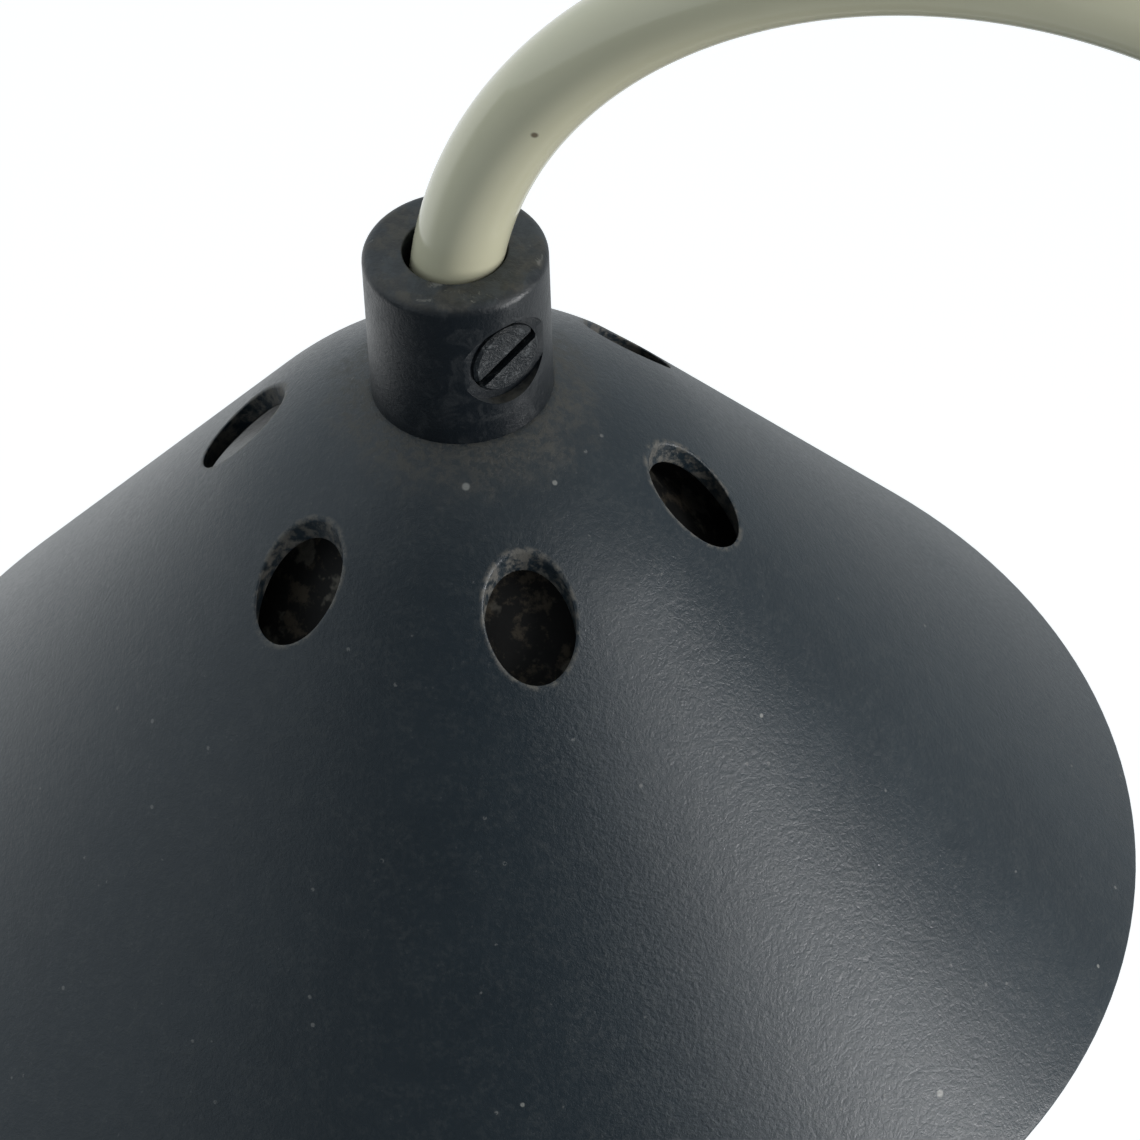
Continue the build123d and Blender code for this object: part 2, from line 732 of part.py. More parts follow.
# ================================================================ lamp holder
holder_top = reflector_top - reflector_wall
with BuildPart() as holder_cap:
    with BuildSketch(shade_section):
        with BuildLine():
            Polyline(
                (stud_radius, holder_top),
                (8, holder_top),
                (holder_radius - 2, holder_top - 3),
                (holder_radius, holder_top - 8),
                (holder_radius, holder_joint),
                (holder_radius - cap_wall, holder_joint),
                (holder_radius - cap_wall, holder_top - 8.5),
                (holder_radius - 3.5, holder_top - 4.5),
                (7.5, holder_top - 2),
                (7.5, nipple_bottom),
                (stud_radius, nipple_bottom),
                close=True,
            )
        make_face()
    revolve(axis=shade_axis)
holder_cap.part.label = "holder_cap"
export_step(holder_cap.part, "parts/holder_cap.step")

with BuildPart() as holder_skirt:
    with BuildSketch(shade_section):
        with BuildLine():
            Polyline(
                (insert_radius + 0.05, holder_joint + 6),
                (holder_radius - cap_wall - 0.05, holder_joint + 6),
                (holder_radius - cap_wall - 0.05, holder_joint),
                (holder_radius, holder_joint),
                (holder_radius, holder_joint - 5),
                (holder_radius - cap_wall, holder_joint - 5 - cap_wall),
                (holder_radius - 2, holder_bottom),
                (bulb_cap_radius + 1.8, holder_bottom),
                (bulb_cap_radius + 1.8, holder_bottom + 1.6),
                (insert_radius - 0.4, holder_bottom + 1.6),
                (insert_radius + 0.05, insert_bottom),
                close=True,
            )
        make_face()
    revolve(axis=shade_axis)
holder_skirt.part.label = "holder_skirt"
export_step(holder_skirt.part, "parts/holder_skirt.step")

with BuildPart() as holder_insert:
    with BuildSketch(shade_level(insert_top)):
        Circle(insert_radius)
    extrude(amount=insert_bottom - insert_top)
    chamfer(holder_insert.edges().group_by(Axis.Z)[-1], 0.6)
holder_insert.part.label = "holder_insert"
export_step(holder_insert.part, "parts/holder_insert.step")

with BuildPart() as holder_shell:
    with BuildSketch(shade_level(insert_bottom)):
        Circle(lamp_shell_radius + 0.5)
        Circle(lamp_shell_radius, mode=Mode.SUBTRACT)
    extrude(amount=-cap_length)
holder_shell.part.label = "holder_shell"
export_step(holder_shell.part, "parts/holder_shell.step")

with BuildPart() as holder_contact:
    with BuildSketch(shade_level(insert_bottom)):
        Rectangle(9, 3.5)
    extrude(amount=-0.5)
    with BuildSketch(shade_level(insert_bottom - 0.5)):
        Circle(1.75)
    extrude(amount=-1)
holder_contact.part.label = "holder_contact"
export_step(holder_contact.part, "parts/holder_contact.step")

with BuildPart() as holder_terminals:
    with BuildSketch(shade_level(insert_top)):
        with Locations((0, terminal_offset), (0, -terminal_offset)):
            Circle(2)
    extrude(amount=2)
holder_terminals.part.label = "holder_terminals"
export_step(holder_terminals.part, "parts/holder_terminals.step")

# Two short leads from the end of the bow's flex to the terminals.
with BuildPart() as holder_leads:
    for side in (1, -1):
        with BuildLine():
            lead = FilletPolyline(
                (shade_x, side * 1.2, collar_top - flex_end_depth - 0.2),
                (shade_x, side * 1.2, collar_top - flex_end_depth - 2),
                (shade_x, side * terminal_offset, collar_top - flex_end_depth - 3.6),
                (shade_x, side * terminal_offset, collar_top + insert_top + 2),
                radius=0.8,
            )
        with BuildSketch(Plane(lead @ 0, z_dir=lead % 0)):
            Circle(0.6)
        sweep(path=lead)
holder_leads.part.label = "holder_leads"
export_step(holder_leads.part, "parts/holder_leads.step")

# ================================================================ bulb
cap_top = insert_bottom - 5
cap_bottom = cap_top - cap_length
with BuildPart() as bulb_cap:
    with BuildSketch(shade_level(cap_top)):
        Circle(bulb_cap_radius)
    extrude(amount=cap_bottom - cap_top)
    chamfer(bulb_cap.edges().group_by(Axis.Z)[-1], 0.6)
bulb_cap.part.label = "bulb_cap"
export_step(bulb_cap.part, "parts/bulb_cap.step")

with BuildPart() as bulb_insulator:
    with BuildSketch(shade_level(cap_top)):
        Circle(5.5)
    extrude(amount=insulator_height, taper=35)
bulb_insulator.part.label = "bulb_insulator"
export_step(bulb_insulator.part, "parts/bulb_insulator.step")

with BuildPart() as bulb_contact:
    with BuildSketch(shade_level(cap_top + insulator_height)):
        Circle(2.4)
    extrude(amount=0.9)
    fillet(bulb_contact.edges().group_by(Axis.Z)[-1], 0.5)
bulb_contact.part.label = "bulb_contact"
export_step(bulb_contact.part, "parts/bulb_contact.step")

# Opal envelope: a flare comes down from the cap and runs tangent into the globe. The flare's
# centre is one flare plus one globe radius from the globe's centre.
globe_depth = bulb_bottom + bulb_radius
flare_x = bulb_cap_radius + 0.4 + flare_radius
flare_rise = sqrt((bulb_radius + flare_radius) ** 2 - flare_x**2)
flare_turn = degrees(atan(flare_rise / flare_x))
with BuildPart() as bulb_glass:
    with BuildSketch(shade_section):
        with BuildLine():
            for inset in (0, glass):
                CenterArc((flare_x, globe_depth + flare_rise), flare_radius + inset, 180, flare_turn)
                CenterArc((0, globe_depth), bulb_radius - inset, -90, 90 + flare_turn)
            Line((0, bulb_bottom), (0, bulb_bottom + glass))
            neck_x = flare_x - flare_radius
            Line((neck_x, globe_depth + flare_rise), (neck_x - glass, globe_depth + flare_rise))
        make_face()
    revolve(axis=shade_axis)
bulb_glass.part.label = "bulb_glass"
export_step(bulb_glass.part, "parts/bulb_glass.step")

print("reach", round(reach, 2), "shade axis x", round(shade_x, 2))
print("bow length", round(sum(edge.length for edge in bow_line(-tube_depth, bow_bottom).edges()), 1))
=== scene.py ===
# %% [markdown]
# # An arc floor lamp, and how its surfaces are made
#
# The lamp has a weighted base, an upright tube, a bent tube that arches over, and a conical
# shade that hangs from a collar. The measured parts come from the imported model, which is
# loaded here as a fixed frame. This file only makes the looks: finer surfaces for the pieces
# that are seen close up, a finish for every piece, and a small studio.
#
# Everything is in metres. A size that belongs to the lamp is read from the frame where the
# frame has it, and is given in millimetres, times MM, where it doesn't.

# %% Load the frame and keep its size
import json

import bpy
import numpy as np
from mathutils import Matrix, Vector


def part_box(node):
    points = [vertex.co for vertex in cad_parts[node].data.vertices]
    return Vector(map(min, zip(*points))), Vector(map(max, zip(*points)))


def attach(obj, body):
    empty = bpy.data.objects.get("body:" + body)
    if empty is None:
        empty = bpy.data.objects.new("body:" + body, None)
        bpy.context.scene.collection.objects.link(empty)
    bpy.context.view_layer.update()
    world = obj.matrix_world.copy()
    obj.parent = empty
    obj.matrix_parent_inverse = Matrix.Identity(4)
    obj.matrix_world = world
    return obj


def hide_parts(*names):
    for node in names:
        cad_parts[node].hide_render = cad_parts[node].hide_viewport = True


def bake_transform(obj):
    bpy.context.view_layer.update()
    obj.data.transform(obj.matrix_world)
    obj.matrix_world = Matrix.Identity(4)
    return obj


MM = 0.001
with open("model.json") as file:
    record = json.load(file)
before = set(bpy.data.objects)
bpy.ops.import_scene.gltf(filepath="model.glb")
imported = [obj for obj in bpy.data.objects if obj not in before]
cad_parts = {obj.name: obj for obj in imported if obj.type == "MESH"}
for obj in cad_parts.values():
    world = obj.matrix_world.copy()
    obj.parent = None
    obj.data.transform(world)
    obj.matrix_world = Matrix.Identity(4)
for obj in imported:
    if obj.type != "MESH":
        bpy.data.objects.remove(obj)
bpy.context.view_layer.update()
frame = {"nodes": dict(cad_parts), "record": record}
nodes = frame["nodes"]

# %% [markdown]
# ## Where things are
#
# Almost every place follows from three facts: the axis of the collar, the height of the
# collar's top, and the axis of the tube's straight end, which is held a little off centre by
# the clamp screw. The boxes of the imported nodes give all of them.

# %% The shade's axis, the collar's top and the bow's ends
def middle(node):
    """Centre of a node's box."""
    low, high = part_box(node)
    return (np.array(low) + np.array(high)) / 2


collar_low, collar_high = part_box("shade_collar")
shade_low, shade_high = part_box("shade")
tube_low, tube_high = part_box("bow_tube")
tube_radius = (tube_high.y - tube_low.y) / 2
collar_radius = (collar_high.y - collar_low.y) / 2
collar_top = collar_high.z
collar_foot = collar_low.z
shade_x = (shade_low.x + shade_high.x) / 2
bow_x = tube_low.x + tube_radius
rim_radius = (shade_high.y - shade_low.y) / 2
shade_centre = np.array([shade_x, 0.0, collar_foot])
print("shade axis at x", round(shade_x, 4), "collar top at z", round(collar_top, 4))

# %% [markdown]
# ## The camera
#
# A long lens from a little over the collar's height looks down on the shade at about 45
# degrees. Its place is given from the collar, so it would follow the lamp if the lamp grew.
# Blender's cameras look along their own -Z, so the three axes of the camera are worked out
# from heading, pitch and roll and put into the columns of its matrix.

# %% Camera
CAMERA_FROM_COLLAR = np.array([136.95, -448.5, 409.3]) * MM
CAMERA_HEADING = np.radians(-15.37)     # from +Y towards +X
CAMERA_PITCH = np.radians(44.95)        # below the horizon
CAMERA_ROLL = np.radians(-2.10)
LENS = 153.83


def camera_axes(heading, pitch, roll):
    """Right, up and back axes of a camera: level first, then rolled about its line of sight."""
    ahead = np.array([np.sin(heading) * np.cos(pitch), np.cos(heading) * np.cos(pitch), -np.sin(pitch)])
    level_right = np.array([np.cos(heading), -np.sin(heading), 0.0])
    level_up = np.cross(level_right, ahead)
    right = level_right * np.cos(roll) + level_up * np.sin(roll)
    up = level_up * np.cos(roll) - level_right * np.sin(roll)
    return np.column_stack([right, up, -ahead])


camera_data = bpy.data.cameras.new("camera")
camera_data.lens = LENS
camera_data.sensor_width = 36.0
camera_data.clip_end = 100.0
camera = bpy.data.objects.new("camera", camera_data)
bpy.context.scene.collection.objects.link(camera)
camera_place = np.array([shade_x, 0.0, collar_top]) + CAMERA_FROM_COLLAR
turn = Matrix(camera_axes(CAMERA_HEADING, CAMERA_PITCH, CAMERA_ROLL).tolist()).to_4x4()
camera.matrix_world = Matrix.Translation(Vector(camera_place)) @ turn
bpy.context.scene.camera = camera
print("camera at", np.round(camera_place, 3))

# %% [markdown]
# ## Shader arithmetic
#
# A finish is mostly arithmetic on masks: dust is noise times nearness to the collar, wear is
# noise times nearness to an edge. Written as nodes by hand that takes pages, so a socket is
# wrapped in a small class whose operators add Math nodes. `Finish.node` makes any other node.

# %% Socket wrapper and material builder
class Wire:
    """An output socket. Sums, products and the rest on it add Math nodes to its tree."""

    def __init__(self, finish, socket):
        self.finish = finish
        self.socket = socket

    def math(self, operation, first, second=0.0):
        return self.finish.node("ShaderNodeMath", {"operation": operation}, {0: first, 1: second})

    def __add__(self, other):
        return self.math("ADD", self, other)

    def __radd__(self, other):
        return self.math("ADD", other, self)

    def __sub__(self, other):
        return self.math("SUBTRACT", self, other)

    def __rsub__(self, other):
        return self.math("SUBTRACT", other, self)

    def __mul__(self, other):
        return self.math("MULTIPLY", self, other)

    def __rmul__(self, other):
        return self.math("MULTIPLY", other, self)

    def above(self, low, high):
        """Rises smoothly from 0 at low to 1 at high, and falls if low is the larger."""
        settings = {"interpolation_type": "SMOOTHSTEP"}
        if low <= high:
            return self.finish.node("ShaderNodeMapRange", settings, {0: self, 1: low, 2: high})
        return 1.0 - self.finish.node("ShaderNodeMapRange", settings, {0: self, 1: high, 2: low})

    def at_most(self, other):
        return self.math("MINIMUM", self, other)

    def at_least(self, other):
        return self.math("MAXIMUM", self, other)


class Finish:
    """A material under construction, with one Principled surface."""

    def __init__(self, name):
        self.material = bpy.data.materials.new(name)
        self.material.use_nodes = True
        self.tree = self.material.node_tree
        self.surface = self.tree.nodes["Principled BSDF"]

    def node(self, kind, settings=None, sockets=None, out=0):
        """Adds a node: its settings first, then the values or wires of its input sockets."""
        made = self.tree.nodes.new(kind)
        for key, value in (settings or {}).items():
            setattr(made, key, value)
        for key, value in (sockets or {}).items():
            self.feed(made.inputs[key], value)
        return Wire(self, made.outputs[out])

    def feed(self, socket, value):
        """Links a wire to a socket, or sets the socket's own value."""
        if isinstance(value, Wire):
            self.tree.links.new(value.socket, socket)
        elif isinstance(value, (tuple, list)) and len(value) == 3 and socket.type == "RGBA":
            socket.default_value = (*value, 1.0)
        else:
            socket.default_value = value

    def place(self, centre=(0.0, 0.0, 0.0)):
        """Object coordinates, in metres, from a centre."""
        where = self.node("ShaderNodeTexCoord", out=3)
        return self.node("ShaderNodeVectorMath", {"operation": "SUBTRACT"}, {0: where, 1: centre})

    def noise(self, size, detail=3.0, roughness=0.55, where=None, warp=0.0):
        """Noise from 0 to 1 with features about as large as size, in metres."""
        sockets = {"Scale": 1.0 / size, "Detail": detail, "Roughness": roughness, "Distortion": warp}
        sockets["Vector"] = where or self.place()
        return self.node("ShaderNodeTexNoise", {"noise_dimensions": "3D"}, sockets)

    def cells(self, size, where=None):
        """Distance to the nearest of scattered points, as a share of their spacing."""
        sockets = {"Scale": 1.0 / size, "Vector": where or self.place()}
        return self.node("ShaderNodeTexVoronoi", None, sockets)

    def near(self, point, low, high, where=None):
        """1 within low of a point and 0 beyond high, in metres."""
        sockets = {0: where or self.place(), 1: point}
        gap = self.node("ShaderNodeVectorMath", {"operation": "DISTANCE"}, sockets, out=1)
        return gap.above(high, low)

    def attribute(self, name):
        """A number stored on the piece's own vertices."""
        return self.node("ShaderNodeAttribute", {"attribute_name": name}, out=2)

    def axis(self, letter, where=None):
        """One coordinate of a place."""
        return self.node("ShaderNodeSeparateXYZ", None, {0: where or self.place()}, "XYZ".index(letter))

    def mix(self, share, first, second):
        """Blend of two colours."""
        sockets = {0: share, 6: first, 7: second}
        return self.node("ShaderNodeMix", {"data_type": "RGBA"}, sockets, out=2)

    def bump(self, height, depth, strength=1.0):
        """Normal of a surface raised by height times depth, in metres."""
        sockets = {"Height": height, "Distance": depth, "Strength": strength}
        return self.node("ShaderNodeBump", None, sockets)

    def finish(self, **sockets):
        """Feeds the surface, by socket name with _ for a space, and returns the material."""
        for key, value in sockets.items():
            self.feed(self.surface.inputs[key.replace("_", " ")], value)
        return self.material


print("shader helpers ready")

# %% [markdown]
# ## The studio
#
# A plain pale floor, a broad even surround, and two soft boxes. The surround is darker where
# the viewer's side of the room would be, which gives a satin surface its dark middle and
# bright outlines. One soft box stands low on the right and draws a long highlight down the
# cone. A weaker one above it carries the highlight on towards the vents. The floor glows, as
# a lit paper sweep does.

# %% Floor, surround and soft boxes
FLOOR_RADIUS = 30.0
FLOOR_SIDES = 128
ROOM_GREY = 0.64
SHADED_SIDE = np.array([0.10, -0.79, 0.61])   # the darker side of the room, seen from the lamp
LAMP_HEAD = Vector((shade_x, 0.0, (shade_low.z + collar_top) / 2))


def surface_mesh(name, points, faces):
    """Mesh object at the origin from arrays of points and faces, shaded smooth."""
    mesh = bpy.data.meshes.new(name)
    mesh.from_pydata(points.tolist(), [], faces.tolist())
    mesh.polygons.foreach_set("use_smooth", np.ones(len(mesh.polygons), bool))
    mesh.update()
    made = bpy.data.objects.new(name, mesh)
    bpy.context.scene.collection.objects.link(made)
    return made


def pale_floor():
    """Matt white that glows. What it throws back is dimmer in front and brighter on the left."""
    paint = Finish("floor_white")
    patchy = paint.noise(0.6, 2.0).above(0.2, 0.8)
    seen = paint.node("ShaderNodeLightPath")
    where = paint.place()
    behind = paint.axis("Y", where).above(-1.3, 0.1)
    left = paint.axis("X", where).above(-0.5, -1.6)
    colour = paint.mix(patchy, (0.62, 0.62, 0.61), (0.66, 0.66, 0.65))
    colour = paint.mix((1.0 - seen) * (1.0 - behind), colour, (0.20, 0.22, 0.24))
    colour = paint.mix(seen, colour, (0.88, 0.88, 0.88))
    glow = (0.22 + 0.34 * left) * behind * (1.0 - seen) + 0.55 * seen
    return paint.finish(Base_Color=colour, Roughness=0.9, Emission_Color=(1.0, 1.0, 1.0),
                        Emission_Strength=glow)


around = np.linspace(0, 2 * np.pi, FLOOR_SIDES, endpoint=False)
disc = np.column_stack([np.cos(around), np.sin(around), 0 * around]) * FLOOR_RADIUS
floor = surface_mesh("floor", disc, np.arange(FLOOR_SIDES).reshape(1, -1))
floor.data.materials.append(pale_floor())


def surround():
    """World light: even grey, darker towards the shaded side, white where it is looked at."""
    world = bpy.data.worlds.new("room")
    world.use_nodes = True
    bpy.context.scene.world = world
    tree = world.node_tree
    room = Finish.__new__(Finish)
    room.tree = tree
    back = tree.nodes["Background"]
    facing = room.node("ShaderNodeVectorMath", {"operation": "DOT_PRODUCT"},
                       {0: room.node("ShaderNodeTexCoord", out=0), 1: SHADED_SIDE}, out=1)
    beside = room.axis("X", room.node("ShaderNodeTexCoord", out=0))
    level = ROOM_GREY + 0.18 * beside.above(-0.2, -0.9) - 0.26 * beside.above(0.2, 0.8)
    level = level - 0.45 * facing.above(0.58, 0.96)
    colour = room.mix(level, (0.0, 0.0, 0.0), (0.92, 1.0, 1.05))
    seen = room.node("ShaderNodeLightPath")
    room.feed(back.inputs["Color"], room.mix(seen, colour, (1.0, 1.0, 1.0)))
    back.inputs["Strength"].default_value = 1.0


def soft_box(name, heading, rise, distance, width, height, power):
    """Area light aimed at the lamp's head, at a heading from -Y towards +X and a rise, in degrees."""
    data = bpy.data.lights.new(name, "AREA")
    data.shape = "RECTANGLE"
    data.size = width
    data.size_y = height
    data.energy = power
    away = Vector((
        np.sin(np.radians(heading)) * np.cos(np.radians(rise)),
        -np.cos(np.radians(heading)) * np.cos(np.radians(rise)),
        np.sin(np.radians(rise)),
    ))
    light = bpy.data.objects.new(name, data)
    light.location = LAMP_HEAD + away * distance
    light.rotation_mode = "QUATERNION"
    light.rotation_quaternion = away.to_track_quat("Z", "Y")
    bpy.context.scene.collection.objects.link(light)
    return light


surround()
soft_box("soft_box_right", heading=84, rise=-3, distance=0.85, width=0.24, height=0.26, power=5.1)
soft_box("soft_box_fill", heading=70, rise=31, distance=1.4, width=0.50, height=0.36, power=2.5)
bpy.context.scene.view_settings.view_transform = "Standard"
bpy.context.scene.view_settings.look = "None"
print("studio ready")

# %% [markdown]
# ## Surfaces from numpy
#
# Nearly every piece of this lamp is turned, bent from tube, or drilled. So there are three
# kinds of surface here: a closed outline turned about an upright axis, a ring carried along a
# flat path, and patches that run from a round hole out to a straight border. Each is a grid
# of points worked out as one array. The grids of a piece are joined where their borders meet.

# %% Grids of points into one closed mesh
import bmesh

WELD = 0.002 * MM                        # points nearer than this become one


def grid_faces(rows, columns):
    """Quads of a grid whose last column joins its first."""
    row, column = np.meshgrid(np.arange(rows - 1), np.arange(columns), indexing="ij")
    beside = (column + 1) % columns
    this, following = row * columns, (row + 1) * columns
    corners = [this + column, this + beside, following + beside, following + column]
    return np.stack(corners, -1).reshape(-1, 4)


def joined(name, grids):
    """One mesh from ringed grids of (rows, columns, 3) points, welded where borders meet."""
    starts = np.cumsum([0] + [grid.shape[0] * grid.shape[1] for grid in grids])
    points = np.concatenate([grid.reshape(-1, 3) for grid in grids])
    faces = np.concatenate([grid_faces(*grid.shape[:2]) + start for grid, start in zip(grids, starts)])
    made = surface_mesh(name, points, faces)
    shape = bmesh.new()
    shape.from_mesh(made.data)
    bmesh.ops.remove_doubles(shape, verts=shape.verts, dist=WELD)
    bmesh.ops.dissolve_degenerate(shape, edges=shape.edges, dist=WELD)
    bmesh.ops.recalc_face_normals(shape, faces=shape.faces)
    open_edges = sum(1 for edge in shape.edges if len(edge.link_faces) != 2)
    shape.to_mesh(made.data)
    shape.free()
    print(f"{name}: {len(made.data.polygons)} faces, {open_edges} open edges")
    return made


def vertices_of(piece):
    """The piece's vertices as an array of points."""
    flat = np.empty(len(piece.data.vertices) * 3, np.float32)
    piece.data.vertices.foreach_get("co", flat)
    return flat.reshape(-1, 3).astype(float)


def mark(piece, name, values):
    """Stores one number for each vertex, for the piece's finish to read."""
    layer = piece.data.attributes.new(name, "FLOAT", "POINT")
    layer.data.foreach_set("value", np.asarray(values, np.float32))


def settle(piece, body, slot, *replaced):
    """Rides a piece on a body and hides the nodes it stands for. Its slot is not used."""
    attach(piece, body)
    if replaced:
        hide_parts(*replaced)


# %% Outlines with rounded corners
def outline(*corners, steps=6):
    """Closed outline from corners (across, up) or (across, up, radius), in the given order.

    A rounded corner is an arc tangent to both of its sides. Its centre lies on the corner's
    bisector, at radius over the sine of half the corner's angle."""
    here = np.array([corner[:2] for corner in corners], float)
    parts = []
    for i, corner in enumerate(corners):
        radius = corner[2] if len(corner) > 2 else 0.0
        if radius == 0.0:
            parts.append(here[i][None])
            continue
        back = here[i - 1] - here[i]
        on = here[(i + 1) % len(here)] - here[i]
        back, on = back / np.linalg.norm(back), on / np.linalg.norm(on)
        half = np.arccos(np.clip(back @ on, -1, 1)) / 2
        centre = here[i] + (back + on) / np.linalg.norm(back + on) * radius / np.sin(half)
        start = here[i] + back * radius / np.tan(half) - centre
        end = here[i] + on * radius / np.tan(half) - centre
        sweep = np.pi - 2 * half
        share = np.linspace(0, 1, steps + 1)[:, None]
        arc = start * np.sin((1 - share) * sweep) + end * np.sin(share * sweep)
        parts.append(centre + arc / np.sin(sweep))
    return np.concatenate(parts)


def stretched(line, longest):
    """An open line with extra points, so that no side is longer than longest."""
    sides = np.linalg.norm(np.diff(line, axis=0), axis=1)
    counts = np.maximum(1, np.ceil(sides / longest)).astype(int)
    parts = [a + (b - a) * np.arange(n)[:, None] / n for a, b, n in zip(line[:-1], line[1:], counts)]
    return np.concatenate(parts + [line[-1:]])


def turned_grid(line, x=0.0, sides=128, start=0.0):
    """A line (radius, height) turned about an upright axis at x, as a ringed grid."""
    azimuth = start + np.arange(sides) * 2 * np.pi / sides
    radius = np.repeat(line[:, :1], sides, axis=1)
    height = np.repeat(line[:, 1:], sides, axis=1)
    return np.stack([x + radius * np.cos(azimuth), radius * np.sin(azimuth), height], -1)


def turned(name, line, sides, longest, x=0.0):
    """A closed solid of revolution from a closed outline, with no side of it over longest."""
    loop = stretched(np.concatenate([line, line[:1]]), longest)
    return joined(name, [turned_grid(loop, x, sides)])


# %% Rods, cuts and crisp edges
ROD_LONGEST = 2 * MM
SHARPEST = np.radians(35)                # an edge that turns more than this is drawn as an edge
PAST = 1 * MM                            # how far a cutter reaches past what it cuts
HALVES = [-0.5, 0.5]
BOX_CORNERS = np.stack(np.meshgrid(HALVES, HALVES, HALVES, indexing="ij"), -1).reshape(-1, 3)
BOX_FACES = np.array([[0, 1, 3, 2], [4, 6, 7, 5], [0, 4, 5, 1], [2, 3, 7, 6], [0, 2, 6, 4], [1, 5, 7, 3]])


def rod(name, *corners):
    """Closed solid turned from an open line that starts and ends on the Z axis."""
    return joined(name, [turned_grid(stretched(outline(*corners), ROD_LONGEST))])


def cutter(name, radius, low, high):
    """Plain rod along the Z axis from low to high."""
    return rod(name, (0, low), (radius, low), (radius, high), (0, high))


def block(name, length, width, low, high, turn):
    """Box centred on the Z axis from low to high, turned about that axis."""
    points = BOX_CORNERS * (length, width, high - low) + (0, 0, (low + high) / 2)
    made = surface_mesh(name, points, BOX_FACES)
    made.data.transform(Matrix.Rotation(turn, 4, "Z"))
    return made


def aimed(piece, place, side):
    """Moves a piece made along the Z axis so that it points sideways, at side degrees from +X."""
    out = Vector((np.cos(np.radians(side)), np.sin(np.radians(side)), 0.0))
    across = Vector((-out.y, out.x, 0.0))
    basis = Matrix((across, (0.0, 0.0, 1.0), out)).transposed().to_4x4()
    piece.data.transform(Matrix.Translation(Vector(place)) @ basis)
    return piece


def baked(piece):
    """Puts what the modifiers make into the piece's mesh and takes them off."""
    evaluated = piece.evaluated_get(bpy.context.evaluated_depsgraph_get())
    mesh = bpy.data.meshes.new_from_object(evaluated)
    piece.modifiers.clear()
    piece.data = mesh


def cut(piece, *tools):
    """Takes the tools' volumes out of a piece, removes the tools and keeps the new edges crisp."""
    for tool in tools:
        modifier = piece.modifiers.new("cut", "BOOLEAN")
        modifier.operation = "DIFFERENCE"
        modifier.solver = "EXACT"
        modifier.object = tool
    bpy.context.view_layer.update()
    baked(piece)
    for tool in tools:
        bpy.data.objects.remove(tool)
    piece.data.set_sharp_from_angle(angle=SHARPEST)
    print(f"{piece.name}: {len(piece.data.polygons)} faces after its cuts")


print("surface helpers ready")

# %% [markdown]
# ## The shade
#
# The real shade is one moulding: a crown that leaves the collar at a shallow slope, bends
# over along one arc and runs straight to the rim, with six vents bored straight down through
# the crown. A boolean cut would leave ragged triangles round the vents, just where the
# highlights run. So the crown is laid out as six patches, each with a round hole in its
# middle, whose rings run over the vent's rounded lip, down its wall and out again underneath.
# Above and below them the wall is two plain turned strips.

# %% The wall's height over the plan
WALL = 2.8 * MM
CROWN_SLOPE = np.radians(23.9)
CONE_SLOPE = np.radians(50.8)
CROWN_RADIUS = 57.9 * MM
VENT_RADIUS = 5.9 * MM
VENT_CIRCLE = 30.9 * MM
VENTS = 6
VENT_LIP = 0.45 * MM
PATCH_INNER = 20.0 * MM
PATCH_OUTER = 43.0 * MM
SIDE_STEPS = 28                          # points along each side of a patch
RINGS = 16                               # rings from a patch's border to the vent's edge
CROWDING = 1.4                           # over 1 brings those rings closer together at the vent
LIP_RINGS = 6
BORE_RINGS = 6
crown_x = collar_radius - CROWN_RADIUS * np.sin(CROWN_SLOPE)
crown_z = -CROWN_RADIUS * np.cos(CROWN_SLOPE)


def wall_height(radius, depth):
    """Height over a plan radius, at a depth under the wall's outside, from the collar's foot.

    On the crown it is a circle about the crown's centre; on the cone a line at its slope."""
    arc = CROWN_RADIUS - depth
    bend = crown_x + arc * np.sin(CONE_SLOPE)
    start = crown_x + arc * np.sin(CROWN_SLOPE)
    on_arc = crown_z + np.sqrt(arc**2 - (np.clip(radius, start, bend) - crown_x) ** 2)
    return on_arc - np.maximum(radius - bend, 0) * np.tan(CONE_SLOPE)


# %% One patch round a vent
def patch_border():
    """Plan points round a sixth of a ring: out, across, in and back."""
    half = np.pi / VENTS
    run = np.arange(SIDE_STEPS) / SIDE_STEPS
    width = PATCH_OUTER - PATCH_INNER
    same = np.ones(SIDE_STEPS)
    radius = np.concatenate([PATCH_INNER + width * run, PATCH_OUTER * same, PATCH_OUTER - width * run,
                             PATCH_INNER * same])
    azimuth = np.concatenate([half * same, half * (1 - 2 * run), -half * same, half * (2 * run - 1)])
    return np.stack([radius * np.cos(azimuth), radius * np.sin(azimuth)], -1)


